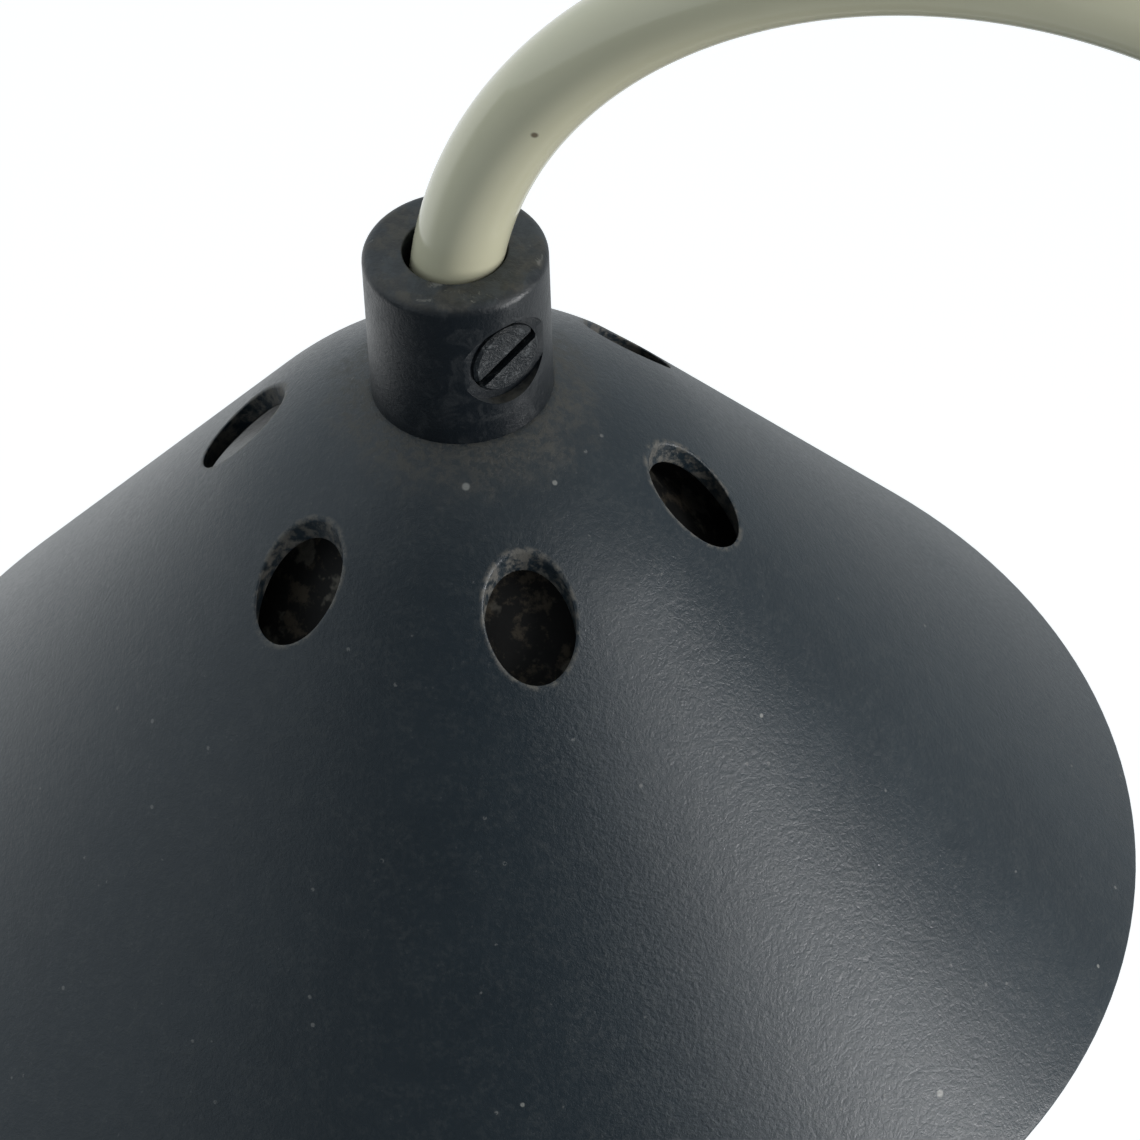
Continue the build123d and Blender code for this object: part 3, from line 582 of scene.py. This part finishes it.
def vent_patch(turn):
    """Grid from the border in to the vent's lip, down its wall and out again underneath.

    The rings close in from the border to the lip's edge. The lip is a quarter round: at an
    angle a it stands (1 - cos a) of its radius off the vent's wall and drops by (1 - sin a)."""
    border = patch_border()
    centre = np.array([VENT_CIRCLE, 0.0])
    spoke = (border - centre) / np.linalg.norm(border - centre, axis=1, keepdims=True)
    edge = centre + spoke * (VENT_RADIUS + VENT_LIP)
    shares = (1 - np.linspace(0, 1, RINGS)) ** CROWDING
    flat = edge + (border - edge) * shares[:, None, None]
    angles = np.linspace(np.pi / 2, 0, LIP_RINGS + 1)[1:]
    lip = centre + spoke * (VENT_RADIUS + VENT_LIP * (1 - np.cos(angles)))[:, None, None]
    plan = np.concatenate([flat, lip])
    drop = np.concatenate([0 * shares, VENT_LIP * (1 - np.sin(angles))])[:, None]
    radius = np.hypot(plan[..., 0], plan[..., 1])
    outer = np.concatenate([plan, (wall_height(radius, 0.0) - drop)[..., None]], -1)
    under = np.concatenate([plan, (wall_height(radius, WALL) + drop)[..., None]], -1)
    down = np.linspace(0, 1, BORE_RINGS + 2)[1:-1, None, None]
    bore = outer[-1] + (under[-1] - outer[-1]) * down
    grid = np.concatenate([outer, bore, under[::-1]])
    return grid @ np.array(Matrix.Rotation(turn, 3, "Z")).T + shade_centre


# %% The whole shade
RIM_ROUND = 0.5 * MM
RIM_CORNER = rim_radius + RIM_ROUND * (1 / np.tan(CONE_SLOPE / 2) - 1)   # before it is rounded
NIPPLE_HOLE = 5.2 * MM


def shade_wall():
    """Six vent patches between a turned strip up to the collar and one down to the rim."""
    sides = VENTS * SIDE_STEPS
    out = np.linspace(PATCH_INNER, collar_radius, 12)
    top_outside = np.stack([out, wall_height(out, 0.0)], -1)
    top_inside = np.stack([out, wall_height(out, WALL)], -1)[::-1]
    hole = np.array([[NIPPLE_HOLE, 0.0], [NIPPLE_HOLE, -WALL]])
    top = np.concatenate([top_outside, hole, top_inside])
    end = wall_height(RIM_CORNER, 0.0)
    rim = outline(
        (PATCH_OUTER, wall_height(PATCH_OUTER, 0.0)),
        (RIM_CORNER, end, RIM_ROUND),
        (RIM_CORNER - WALL / np.sin(CONE_SLOPE), end, RIM_ROUND / 2),
        (PATCH_OUTER, wall_height(PATCH_OUTER, WALL)),
        steps=8,
    )
    strips = [turned_grid(stretched(line, 1.4 * MM), 0.0, sides, np.pi / VENTS) for line in (top, rim)]
    patches = [vent_patch(k * 2 * np.pi / VENTS) for k in range(VENTS)]
    made = joined("shade_wall", [strip + shade_centre for strip in strips] + patches)
    place = vertices_of(made) - shade_centre
    radius = np.hypot(place[:, 0], place[:, 1])
    sector = 2 * np.pi / VENTS
    azimuth = (np.arctan2(place[:, 1], place[:, 0]) + sector / 2) % sector - sector / 2
    to_vent = np.hypot(radius * np.cos(azimuth) - VENT_CIRCLE, radius * np.sin(azimuth)) - VENT_RADIUS
    below = (wall_height(radius, 0.0) - place[:, 2]) / (wall_height(radius, 0.0) - wall_height(radius, WALL))
    mark(made, "vent_gap", np.maximum(to_vent, 0.0))
    mark(made, "below", np.clip(below, 0.0, 1.0))
    mark(made, "out", radius)
    return made


shade_piece = shade_wall()
settle(shade_piece, "shade_head", "slate_moulding", "shade")

# %% [markdown]
# ## The collar and its clamp screw
#
# The collar is a turned black moulding with a flat-bottomed recess milled for a slotted grub
# screw. Here a cut is the honest tool: the collar is turned with many sides, a rod the size
# of the milling cutter and one the size of the screw's hole are taken out of it, and the
# cuts keep crisp edges. Many small faces round the cuts keep the shading smooth beside them.

# %% Collar
COLLAR_ROUND = 1.5 * MM
MOUTH_RADIUS = 6.75 * MM
MOUTH_ROUND = 0.3 * MM
SEAT_DEPTH = 16.0 * MM
NIPPLE_RADIUS = 5.05 * MM
SCREW_SIDE = -41.0                       # degrees from +X
SCREW_RADIUS = 5.0 * MM
SPOT_RADIUS = 6.5 * MM
SPOT_DEPTH = 0.8 * MM                    # from the screw's face down to the recess's floor
SCREW_SLOT_TURN = np.radians(27.7)
screw_place = (shade_x, 0.0, middle("collar_screw")[2])
screw_face = collar_radius - SPOT_DEPTH


def collar():
    """Turned ring with a rounded top edge, a mouth for the tube and a recessed screw hole."""
    line = outline(
        (MOUTH_RADIUS, collar_top, MOUTH_ROUND),
        (collar_radius, collar_top, COLLAR_ROUND),
        (collar_radius, collar_foot),
        (NIPPLE_RADIUS, collar_foot),
        (NIPPLE_RADIUS, collar_top - SEAT_DEPTH),
        (MOUTH_RADIUS, collar_top - SEAT_DEPTH),
        steps=10,
    )
    made = turned("collar_body", line, sides=160, longest=1.2 * MM, x=shade_x)
    past = collar_radius + 2 * PAST
    recess = cutter("recess", SPOT_RADIUS, screw_face - SPOT_DEPTH, past)
    hole = cutter("hole", SCREW_RADIUS, NIPPLE_RADIUS, past)
    cut(made, aimed(recess, screw_place, SCREW_SIDE), aimed(hole, screw_place, SCREW_SIDE))
    return made


collar_piece = collar()
settle(collar_piece, "shade_head", "black_moulding", "shade_collar")

# %% Clamp screw
SCREW_TIP = tube_radius - 0.15 * MM
SCREW_GAP = 0.05 * MM
SCREW_CHAMFER = 0.4 * MM
POINT_RADIUS = 0.6 * SCREW_RADIUS
POINT_SHARE = 0.3                        # of the screw's length is its thinner point
SLOT_LENGTH = 2.4 * SCREW_RADIUS         # past both sides of the screw
SLOT_WIDTH = 0.3 * SCREW_RADIUS
SLOT_DEPTH = 0.34 * SCREW_RADIUS


def clamp_screw():
    """Grub screw with a dog point, a chamfered face and a cut slot."""
    radius = SCREW_RADIUS - SCREW_GAP
    shoulder = SCREW_TIP + POINT_SHARE * (screw_face - SCREW_TIP)
    made = rod(
        "clamp_screw",
        (0, SCREW_TIP),
        (POINT_RADIUS, SCREW_TIP),
        (POINT_RADIUS, shoulder),
        (radius, shoulder),
        (radius, screw_face - SCREW_CHAMFER),
        (radius - SCREW_CHAMFER, screw_face),
        (0, screw_face),
    )
    floor_of_slot = screw_face - SLOT_DEPTH
    cut(made, block("slot", SLOT_LENGTH, SLOT_WIDTH, floor_of_slot, screw_face + PAST, SCREW_SLOT_TURN))
    return aimed(made, screw_place, SCREW_SIDE)


screw_piece = clamp_screw()
settle(screw_piece, "shade_clamp_screw", "black_moulding", "collar_screw")

# %% [markdown]
# ## The bow
#
# The bow is one steel tube, bent on two formers: a tight crook over the shade and one long
# even arch down to the upright. A tube sweeps well as a ring of points carried along the
# path, with the ring square to the path at every step. The path here lies in one plane, so
# the ring's two axes are simply across that plane and in it, and nothing can twist.

# %% The bow's path
CROOK_RADIUS = 68.0 * MM
CROOK_TURN = np.radians(130.0)
ARCH_RADIUS = 900.0 * MM
CROOK_STEP = 1.2                         # degrees between rings
ARCH_STEP = 0.25
BEND_DEPTH = 12.5 * MM                   # the crook begins this far down in the collar
TUBE_DEPTH = 15.8 * MM                   # and the tube this far
TUBE_WALL = 1.0 * MM


def bow_path():
    """Centreline points and headings: up, round the crook, down the arch, and straight down.

    A heading is measured from straight up. On an arc of radius R it turns evenly from a to b,
    and the point moves by R (cos a - cos b) across and R (sin b - sin a) up."""
    start = np.array([bow_x, collar_top - TUBE_DEPTH])
    bend = np.array([bow_x, collar_top - BEND_DEPTH])
    parts, headings = [start[None]], [np.zeros(1)]
    here = bend
    arcs = ((CROOK_RADIUS, 0.0, CROOK_TURN, CROOK_STEP), (ARCH_RADIUS, CROOK_TURN, np.pi, ARCH_STEP))
    for radius, low, high, step in arcs:
        turn = np.linspace(low, high, int(np.degrees(high - low) / step) + 1)
        across = radius * (np.cos(low) - np.cos(turn))
        up = radius * (np.sin(turn) - np.sin(low))
        points = here + np.stack([across, up], -1)
        parts.append(points)
        headings.append(turn)
        here = points[-1]
    parts.append(np.array([[0.0, tube_low.z]]))
    headings.append(np.full(1, np.pi))
    print("arch ends at", np.round(here, 4))
    return np.concatenate(parts), np.concatenate(headings)


# %% The bow's tube
def carried_ring(path, heading, radius, sides=64):
    """A ring carried along a path in the XZ plane, one row for each point of the path."""
    angle = np.arange(sides) * 2 * np.pi / sides
    across = np.stack([np.cos(heading), 0 * heading, -np.sin(heading)], -1)
    centre = np.stack([path[:, 0], 0 * heading, path[:, 1]], -1)
    radius = np.broadcast_to(radius, heading.shape)[:, None, None]
    side = np.array([0.0, 1.0, 0.0])
    ring = across[:, None] * np.cos(angle)[:, None] + side * np.sin(angle)[:, None]
    return centre[:, None] + radius * ring


def bow():
    """Outside and bore of the tube, joined over its two cut ends."""
    path, heading = bow_path()
    outside = carried_ring(path, heading, tube_radius)
    bore = carried_ring(path, heading, tube_radius - TUBE_WALL)
    return joined("bow_pipe", [np.concatenate([outside, bore[::-1], outside[:1]])])


bow_piece = bow()
settle(bow_piece, "bow", "cream_lacquer", "bow_tube")

# %% [markdown]
# ## Base, upright and bulb
#
# These are turned pieces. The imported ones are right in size, but their facets show in a long
# highlight, so each is turned again from the same outline with many more sides. The base
# cover is spun sheet steel with a generous shoulder and two holes, for the foot switch and
# the cable inlet. The upright is plain tube, and the bulb is an opal globe that runs into its
# neck.

# %% Base cover
base_low, base_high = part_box("base_cover")
base_radius = base_high.x
SHOULDER = 12.0 * MM
COVER_WALL = 1.2 * MM
COVER_EDGE = 0.5 * MM
STUD_HOLE = 5.3 * MM
SWITCH_HOLE = 8.3 * MM
INLET_HOLE = 5.2 * MM


def base_shell():
    """The cover's sheet, turned: top, shoulder, skirt, and back inside, with two holes cut."""
    inside = base_radius - COVER_WALL
    under = base_high.z - COVER_WALL
    line = outline(
        (STUD_HOLE, base_high.z),
        (base_radius, base_high.z, SHOULDER),
        (base_radius, base_low.z, COVER_EDGE),
        (inside, base_low.z, COVER_EDGE),
        (inside, under, SHOULDER - COVER_WALL),
        (STUD_HOLE, under),
        steps=14,
    )
    made = turned("base_shell", line, sides=256, longest=6 * MM)
    switch_low, switch_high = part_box("switch_body")
    switch_hole = cutter("switch_hole", SWITCH_HOLE, under - PAST, base_high.z + PAST)
    switch_hole.data.transform(Matrix.Translation(((switch_low.x + switch_high.x) / 2, 0, 0)))
    inlet_hole = cutter("inlet_hole", INLET_HOLE, inside - 3 * PAST, base_radius + PAST)
    cut(made, switch_hole, aimed(inlet_hole, (0, 0, middle("inlet_grommet")[2]), 0.0))
    return made


base_piece = base_shell()
settle(base_piece, "stand", "slate_paint", "base_cover")

# %% Upright
upright_low, upright_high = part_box("upright")
UPRIGHT_WALL = 1.2 * MM
UPRIGHT_EDGE = 0.3 * MM


def upright_pipe():
    """The upright tube, with a small broken edge at its ends."""
    radius = upright_high.x
    line = outline(
        (radius, upright_high.z, UPRIGHT_EDGE),
        (radius, upright_low.z, UPRIGHT_EDGE),
        (radius - UPRIGHT_WALL, upright_low.z),
        (radius - UPRIGHT_WALL, upright_high.z),
        steps=3,
    )
    return turned("upright_pipe", line, sides=96, longest=20 * MM)


upright_piece = upright_pipe()
settle(upright_piece, "stand", "cream_lacquer", "upright")

# %% Bulb globe
GLOBE_RADIUS = 18.5 * MM
FLARE_RADIUS = 5.8 * MM
GLASS = 1.0 * MM
glass_low, glass_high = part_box("bulb_glass")


def globe():
    """Opal envelope: a globe that runs tangent into the flare of its neck.

    The flare's centre is one flare and one globe radius from the globe's. The outline goes up
    the outside from the bottom pole and comes back down inside at the glass's thickness."""
    centre_z = glass_low.z + GLOBE_RADIUS
    rise = glass_high.z - centre_z
    flare_x = np.sqrt((GLOBE_RADIUS + FLARE_RADIUS) ** 2 - rise**2)
    tangent = np.arctan2(rise, flare_x)
    up = np.linspace(-np.pi / 2, tangent, 40)
    neck = np.linspace(np.pi + tangent, np.pi, 12)[1:]
    lines = []
    for inset in (0.0, GLASS):
        ball, flare = GLOBE_RADIUS - inset, FLARE_RADIUS + inset
        body = np.stack([ball * np.cos(up), centre_z + ball * np.sin(up)], -1)
        body[0, 0] = 0.0
        bend = np.stack([flare_x + flare * np.cos(neck), centre_z + rise + flare * np.sin(neck)], -1)
        lines.append(np.concatenate([body, bend]))
    line = np.concatenate([lines[0], lines[1][::-1]])
    return joined("bulb_globe", [turned_grid(line, shade_x, 96)])


globe_piece = globe()
settle(globe_piece, "bulb", "opal_glass", "bulb_glass")

# %% [markdown]
# ## Finishes
#
# Every finish starts from what it is made of and adds what use has left on it. The shade is
# satin moulding in dark slate with a brown dust ring round the collar, dusty vent edges and
# small pale specks. The tube is glossy off-white lacquer. The collar is black moulding, grey
# with dust on top. Dust lies where the surface looks up, so its mask comes from the height
# part of the normal, and noise breaks it up.

# %% The shade's moulding
def upward(paint, low, high):
    """Mask of surfaces that look up, from the height part of the normal."""
    normal = paint.node("ShaderNodeNewGeometry", out=1)
    return paint.axis("Z", normal).above(low, high)


# degrees round the shade, mm from its axis, and mm across
MARKS = [(-74, 17.2, 0.9), (-38, 19.5, 0.6), (-71, 71, 0.5), (-23, 48, 0.5), (-5, 90, 0.5), (-29, 84, 0.9)]


def pale_marks(paint, where, rag):
    """Mask of the single pale marks on the shade, their outlines broken up by rag."""
    mask = 0.0
    for degrees, out, size in MARKS:
        turn, radius = np.radians(degrees), out * MM
        point = (radius * np.cos(turn), radius * np.sin(turn), float(wall_height(radius, 0.0)))
        dot = (1.0 + 0.7 * rag) * paint.near(point, 0.25 * size * MM, 0.75 * size * MM, where)
        mask = dot + mask
    return mask.at_most(1.0)


def slate_moulding():
    """Dark slate moulding with a satin skin, dust, wear and specks."""
    paint = Finish("slate_moulding")
    where = paint.place(centre=tuple(shade_centre))
    cloud = paint.noise(18 * MM, 4.0, 0.6, where)
    grain = paint.noise(0.75 * MM, 5.0, 0.68, where)
    stipple = paint.noise(0.22 * MM, 2.0, 0.5, where)
    mottle = paint.noise(3.0 * MM, 6.0, 0.72, where)
    out = paint.attribute("out")
    gap = paint.attribute("vent_gap")
    below = paint.attribute("below")
    skin = paint.mix(cloud.above(0.3, 0.7), (0.0085, 0.0165, 0.0235), (0.0110, 0.0200, 0.0275))
    # a ragged ring of settled dust round the collar's foot
    ragged = out + (paint.noise(3.5 * MM, 6.0, 0.7, where) - 0.5) * (12 * MM)
    clump = paint.noise(1.3 * MM, 6.0, 0.72, where)
    ring = ragged.above(20.5 * MM, 13.5 * MM) * (0.22 + 0.78 * clump.above(0.40, 0.60))
    film = upward(paint, 0.55, 0.95) * (0.35 + 0.65 * cloud) * (1.0 - below)
    # vent edges and walls hold a little more
    lip = gap.above(0.8 * MM, 0.2 * MM) * paint.noise(1.6 * MM, 5.0, 0.7, where).above(0.42, 0.60)
    nudge = (grain - 0.5) * 0.12
    speck = (paint.cells(4.2 * MM, where) + nudge).above(0.085, 0.055) * mottle.above(0.50, 0.56)
    fine_speck = (paint.cells(1.3 * MM, where) + nudge).above(0.13, 0.07) * mottle.above(0.48, 0.60)
    colour = paint.mix(film * 0.09, skin, (0.15, 0.16, 0.165))
    bloom = mottle.above(0.42, 0.66) * grain.above(0.35, 0.65)
    colour = paint.mix(bloom * 0.16, colour, (0.090, 0.095, 0.092))
    colour = paint.mix(ring * 0.55, colour, (0.105, 0.096, 0.078))
    colour = paint.mix(lip * 0.55, colour, (0.17, 0.155, 0.13))
    colour = paint.mix(fine_speck * 0.30, colour, (0.10, 0.105, 0.11))
    colour = paint.mix(speck * 0.45, colour, (0.26, 0.26, 0.25))
    colour = paint.mix(pale_marks(paint, where, grain) * 0.7, colour, (0.30, 0.30, 0.28))
    dull = ring.at_least(lip * 0.8).at_least(speck)
    rough = 0.27 + 0.08 * cloud + 0.10 * grain.above(0.3, 0.7) + 0.30 * dull
    height = grain + 0.35 * stipple + 0.8 * mottle + 0.8 * ring * clump
    normal = paint.bump(height, 0.09 * MM, 0.8)
    return paint.finish(Base_Color=colour, Roughness=rough.at_most(0.9), Normal=normal)


# %% The tube's lacquer, with one chip on the crook
CHIP_TURN = np.radians(35)               # along the crook
CHIP_SIDE = np.radians(103)              # round the tube, from its outer side
chip_reach = CROOK_RADIUS + tube_radius * np.cos(CHIP_SIDE)
CHIP = (
    bow_x + CROOK_RADIUS - chip_reach * np.cos(CHIP_TURN),
    -tube_radius * np.sin(CHIP_SIDE),
    collar_top - BEND_DEPTH + chip_reach * np.sin(CHIP_TURN),
)


def cream_lacquer():
    """Off-white gloss lacquer on steel: a slight flow in the gloss, a few brown specks."""
    paint = Finish("cream_lacquer")
    cloud = paint.noise(35 * MM, 3.0, 0.5)
    orange = paint.noise(2.6 * MM, 2.0, 0.4)
    skin = paint.mix(cloud.above(0.3, 0.7), (0.690, 0.660, 0.470), (0.740, 0.710, 0.515))
    speck = paint.cells(14 * MM).above(0.035, 0.022) * paint.noise(30 * MM, 0.0, 0.5).above(0.5, 0.6)
    colour = paint.mix(speck * 0.8, skin, (0.10, 0.055, 0.03))
    colour = paint.mix(paint.near(CHIP, 0.25 * MM, 0.65 * MM) * 0.85, colour, (0.12, 0.075, 0.040))
    haze = paint.noise(6 * MM, 4.0, 0.6)
    rough = 0.09 + 0.07 * haze + 0.3 * speck
    normal = paint.bump(orange + 0.1 * haze, 0.03 * MM, 0.30)
    return paint.finish(Base_Color=colour, Roughness=rough, Normal=normal, Coat_Weight=0.3,
                        Coat_Roughness=0.06)


# %% The collar's moulding and the worn screw
def black_moulding():
    """Black moulded collar and knobs, mottled with grey-brown dust where they look up."""
    paint = Finish("black_moulding")
    grain = paint.noise(0.5 * MM, 4.0, 0.6)
    cloud = paint.noise(5 * MM, 4.0, 0.65)
    mottle = paint.noise(1.9 * MM, 5.0, 0.7, warp=0.5)
    patch = paint.noise(3.2 * MM, 5.0, 0.7, warp=0.8)
    up = upward(paint, 0.45, 0.97)
    dust = up * (0.40 + 0.60 * mottle.above(0.38, 0.62)) * (0.75 + 0.25 * grain)
    skin = paint.mix(cloud, (0.0030, 0.0055, 0.0085), (0.0050, 0.0080, 0.0115))
    dust_colour = paint.mix(cloud.above(0.42, 0.6), (0.105, 0.118, 0.125), (0.150, 0.138, 0.112))
    colour = paint.mix(dust * 0.55, skin, dust_colour)
    lump = upward(paint, 0.7, 0.97) * patch.above(0.60, 0.66)
    colour = paint.mix(lump * (0.35 + 0.35 * grain), colour, (0.27, 0.26, 0.23))
    fleck = paint.cells(2.4 * MM).above(0.07, 0.04) * cloud.above(0.5, 0.6)
    colour = paint.mix(fleck * 0.35, colour, (0.2, 0.2, 0.19))
    smear = (1.0 - up) * patch.above(0.46, 0.68)
    colour = paint.mix(smear * 0.10, colour, (0.16, 0.165, 0.165))
    rough = 0.30 + 0.10 * grain + 0.30 * dust + 0.10 * smear
    height = grain + 0.5 * cloud + 1.2 * mottle * up
    return paint.finish(Base_Color=colour, Roughness=rough, Normal=paint.bump(height, 0.10 * MM, 0.8))


def worn_black():
    """The clamp screw: black finish rubbed to pale metal in flecks by a screwdriver."""
    paint = Finish("worn_black")
    scuff = paint.noise(1.5 * MM, 6.0, 0.75, warp=0.6)
    grain = paint.noise(0.4 * MM, 4.0, 0.6)
    rubbed = scuff.above(0.52, 0.62) * grain.above(0.35, 0.6)
    colour = paint.mix(rubbed * 0.55, (0.004, 0.007, 0.010), (0.16, 0.17, 0.175))
    rough = 0.26 + 0.25 * grain + 0.1 * rubbed
    normal = paint.bump(scuff + 0.4 * grain, 0.25 * MM, 0.9)
    return paint.finish(Base_Color=colour, Roughness=rough, Metallic=0.4 * rubbed, Normal=normal)


# %% One recipe for the plainer finishes
def worn(name, low, high, grain, rough, metallic=0.0, depth=0.03 * MM, dust=0.0, **sockets):
    """A finish that drifts between two colours in patches and in grain, with some dust on top.

    rough is the pair of roughnesses at the grain's two ends."""
    paint = Finish(name)
    where = paint.place()
    fine = paint.noise(grain, 4.0, 0.6, where)
    patch = paint.noise(grain * 14, 4.0, 0.6, where)
    colour = paint.mix((0.6 * fine + 0.4 * patch).above(0.3, 0.7), low, high)
    settled = upward(paint, 0.5, 0.98) * (0.4 + 0.6 * patch) * dust
    colour = paint.mix(settled, colour, (0.21, 0.205, 0.19))
    roughness = rough[0] + (rough[1] - rough[0]) * fine + 0.3 * settled
    return paint.finish(Base_Color=colour, Roughness=roughness.at_most(1.0), Metallic=metallic,
                        Normal=paint.bump(fine + 0.4 * patch, depth, 0.5), **sockets)


def reflector_skin():
    """Spun reflector: white inside; outside near black, a painted shade for the unlit gap behind the vents,
    and furred with brown dust.
    """
    paint = Finish("reflector_skin")
    grain = paint.noise(1.0 * MM, 5.0, 0.65)
    tuft = paint.noise(3.2 * MM, 5.0, 0.7)
    white = paint.mix(grain, (0.72, 0.72, 0.70), (0.79, 0.79, 0.77))
    # the outside's near-black colour is painted shade for the dark gap behind the vents; the brown fur and
    # pale tufts on it are dust
    painted_shade_back = paint.mix(grain, (0.012, 0.012, 0.012), (0.022, 0.021, 0.020))
    dust_on_painted_shade = paint.mix(tuft.above(0.50, 0.64) * 0.8, painted_shade_back, (0.130, 0.105, 0.075))
    pale = paint.noise(6.0 * MM, 4.0, 0.6).above(0.58, 0.66) * grain
    dust_on_painted_shade = paint.mix(pale * 0.7, dust_on_painted_shade, (0.36, 0.33, 0.27))
    outside = upward(paint, -0.05, 0.05)
    return paint.finish(Base_Color=paint.mix(outside, white, dust_on_painted_shade), Roughness=0.42 + 0.4 * outside,
                        Normal=paint.bump(grain + tuft, 0.1 * MM, 0.5))


FINISHES = {
    "slate_moulding": slate_moulding(),
    "cream_lacquer": cream_lacquer(),
    "black_moulding": black_moulding(),
    "slate_paint": worn("slate_paint", (0.020, 0.024, 0.029), (0.030, 0.035, 0.041), 0.7 * MM, (0.32, 0.46),
                        dust=0.25),
    "nylon": worn("nylon", (0.66, 0.64, 0.57), (0.74, 0.72, 0.66), 1.2 * MM, (0.35, 0.5)),
    "reflector_skin": reflector_skin(),
    "zinc_steel": worn("zinc_steel", (0.50, 0.51, 0.52), (0.64, 0.65, 0.66), 0.8 * MM, (0.25, 0.42), 1.0),
    "iron": worn("iron", (0.045, 0.045, 0.047), (0.085, 0.080, 0.076), 1.4 * MM, (0.6, 0.8), 0.3, 0.1 * MM),
    "foot_rubber": worn("foot_rubber", (0.014, 0.014, 0.014), (0.026, 0.026, 0.025), 0.6 * MM, (0.7, 0.85)),
    "flex_sheath": worn("flex_sheath", (0.60, 0.59, 0.55), (0.68, 0.67, 0.63), 1.5 * MM, (0.4, 0.5)),
    "brass": worn("brass", (0.60, 0.42, 0.17), (0.76, 0.57, 0.27), 0.9 * MM, (0.22, 0.38), 1.0),
    "porcelain": worn("porcelain", (0.74, 0.73, 0.69), (0.81, 0.80, 0.77), 2.0 * MM, (0.12, 0.2)),
    "opal_glass": worn("opal_glass", (0.80, 0.80, 0.78), (0.86, 0.86, 0.85), 3.0 * MM, (0.10, 0.16),
                       Subsurface_Weight=0.25, Subsurface_Radius=(4 * MM, 4 * MM, 4 * MM)),
    "black_glass": worn("black_glass", (0.008, 0.008, 0.010), (0.014, 0.014, 0.017), 1.0 * MM, (0.08, 0.14)),
    "white_moulding": worn("white_moulding", (0.66, 0.66, 0.64), (0.74, 0.74, 0.72), 0.8 * MM, (0.4, 0.5)),
}
SCREW_FINISH = worn_black()
print("finishes:", ", ".join(FINISHES))

# %% [markdown]
# ## Dressing every piece
#
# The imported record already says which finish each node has, so the same table dresses the
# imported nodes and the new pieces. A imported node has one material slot, which simply gets the
# new material.

# %% Give every node and piece its finish
def put_on(piece, material):
    """Replaces whatever materials a piece has by one."""
    piece.data.materials.clear()
    piece.data.materials.append(material)


slot_of = {entry["node"]: entry["material_slot"] for entry in frame["record"]["subparts"]}
for node, piece in nodes.items():
    put_on(piece, FINISHES[slot_of[node]])
dressed = {
    "slate_moulding": [shade_piece],
    "cream_lacquer": [bow_piece, upright_piece],
    "slate_paint": [base_piece],
    "opal_glass": [globe_piece],
    "black_moulding": [collar_piece],
}
for slot, pieces in dressed.items():
    for piece in pieces:
        put_on(piece, FINISHES[slot])
for piece in (screw_piece, nodes["socket_screw"]):
    put_on(piece, SCREW_FINISH)
print("dressed", len(nodes), "nodes")

# %% [markdown]
# ## Pieces that give way
#
# The slack coil inside the upright shortens when the slider comes down, and the spring under the foot button
# shortens when it is pressed. Here each is only made again as a welded copy of its imported node, which is
# hidden, and the copy keeps its rest shape.

# %% Slack coil and spring
SHARED = (("slack_flex", "slider", "slack_coil"), ("switch_spring", "foot_button", "button_spring"))
for node, mover, name in SHARED:
    welded = bmesh.new()
    welded.from_mesh(nodes[node].data)
    welded.transform(nodes[node].matrix_world)
    bmesh.ops.remove_doubles(welded, verts=welded.verts, dist=WELD)
    shared = bpy.data.objects.new(name, nodes[node].data.copy())
    welded.to_mesh(shared.data)
    welded.free()
    bpy.context.scene.collection.objects.link(shared)
    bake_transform(shared)
    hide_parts(node)
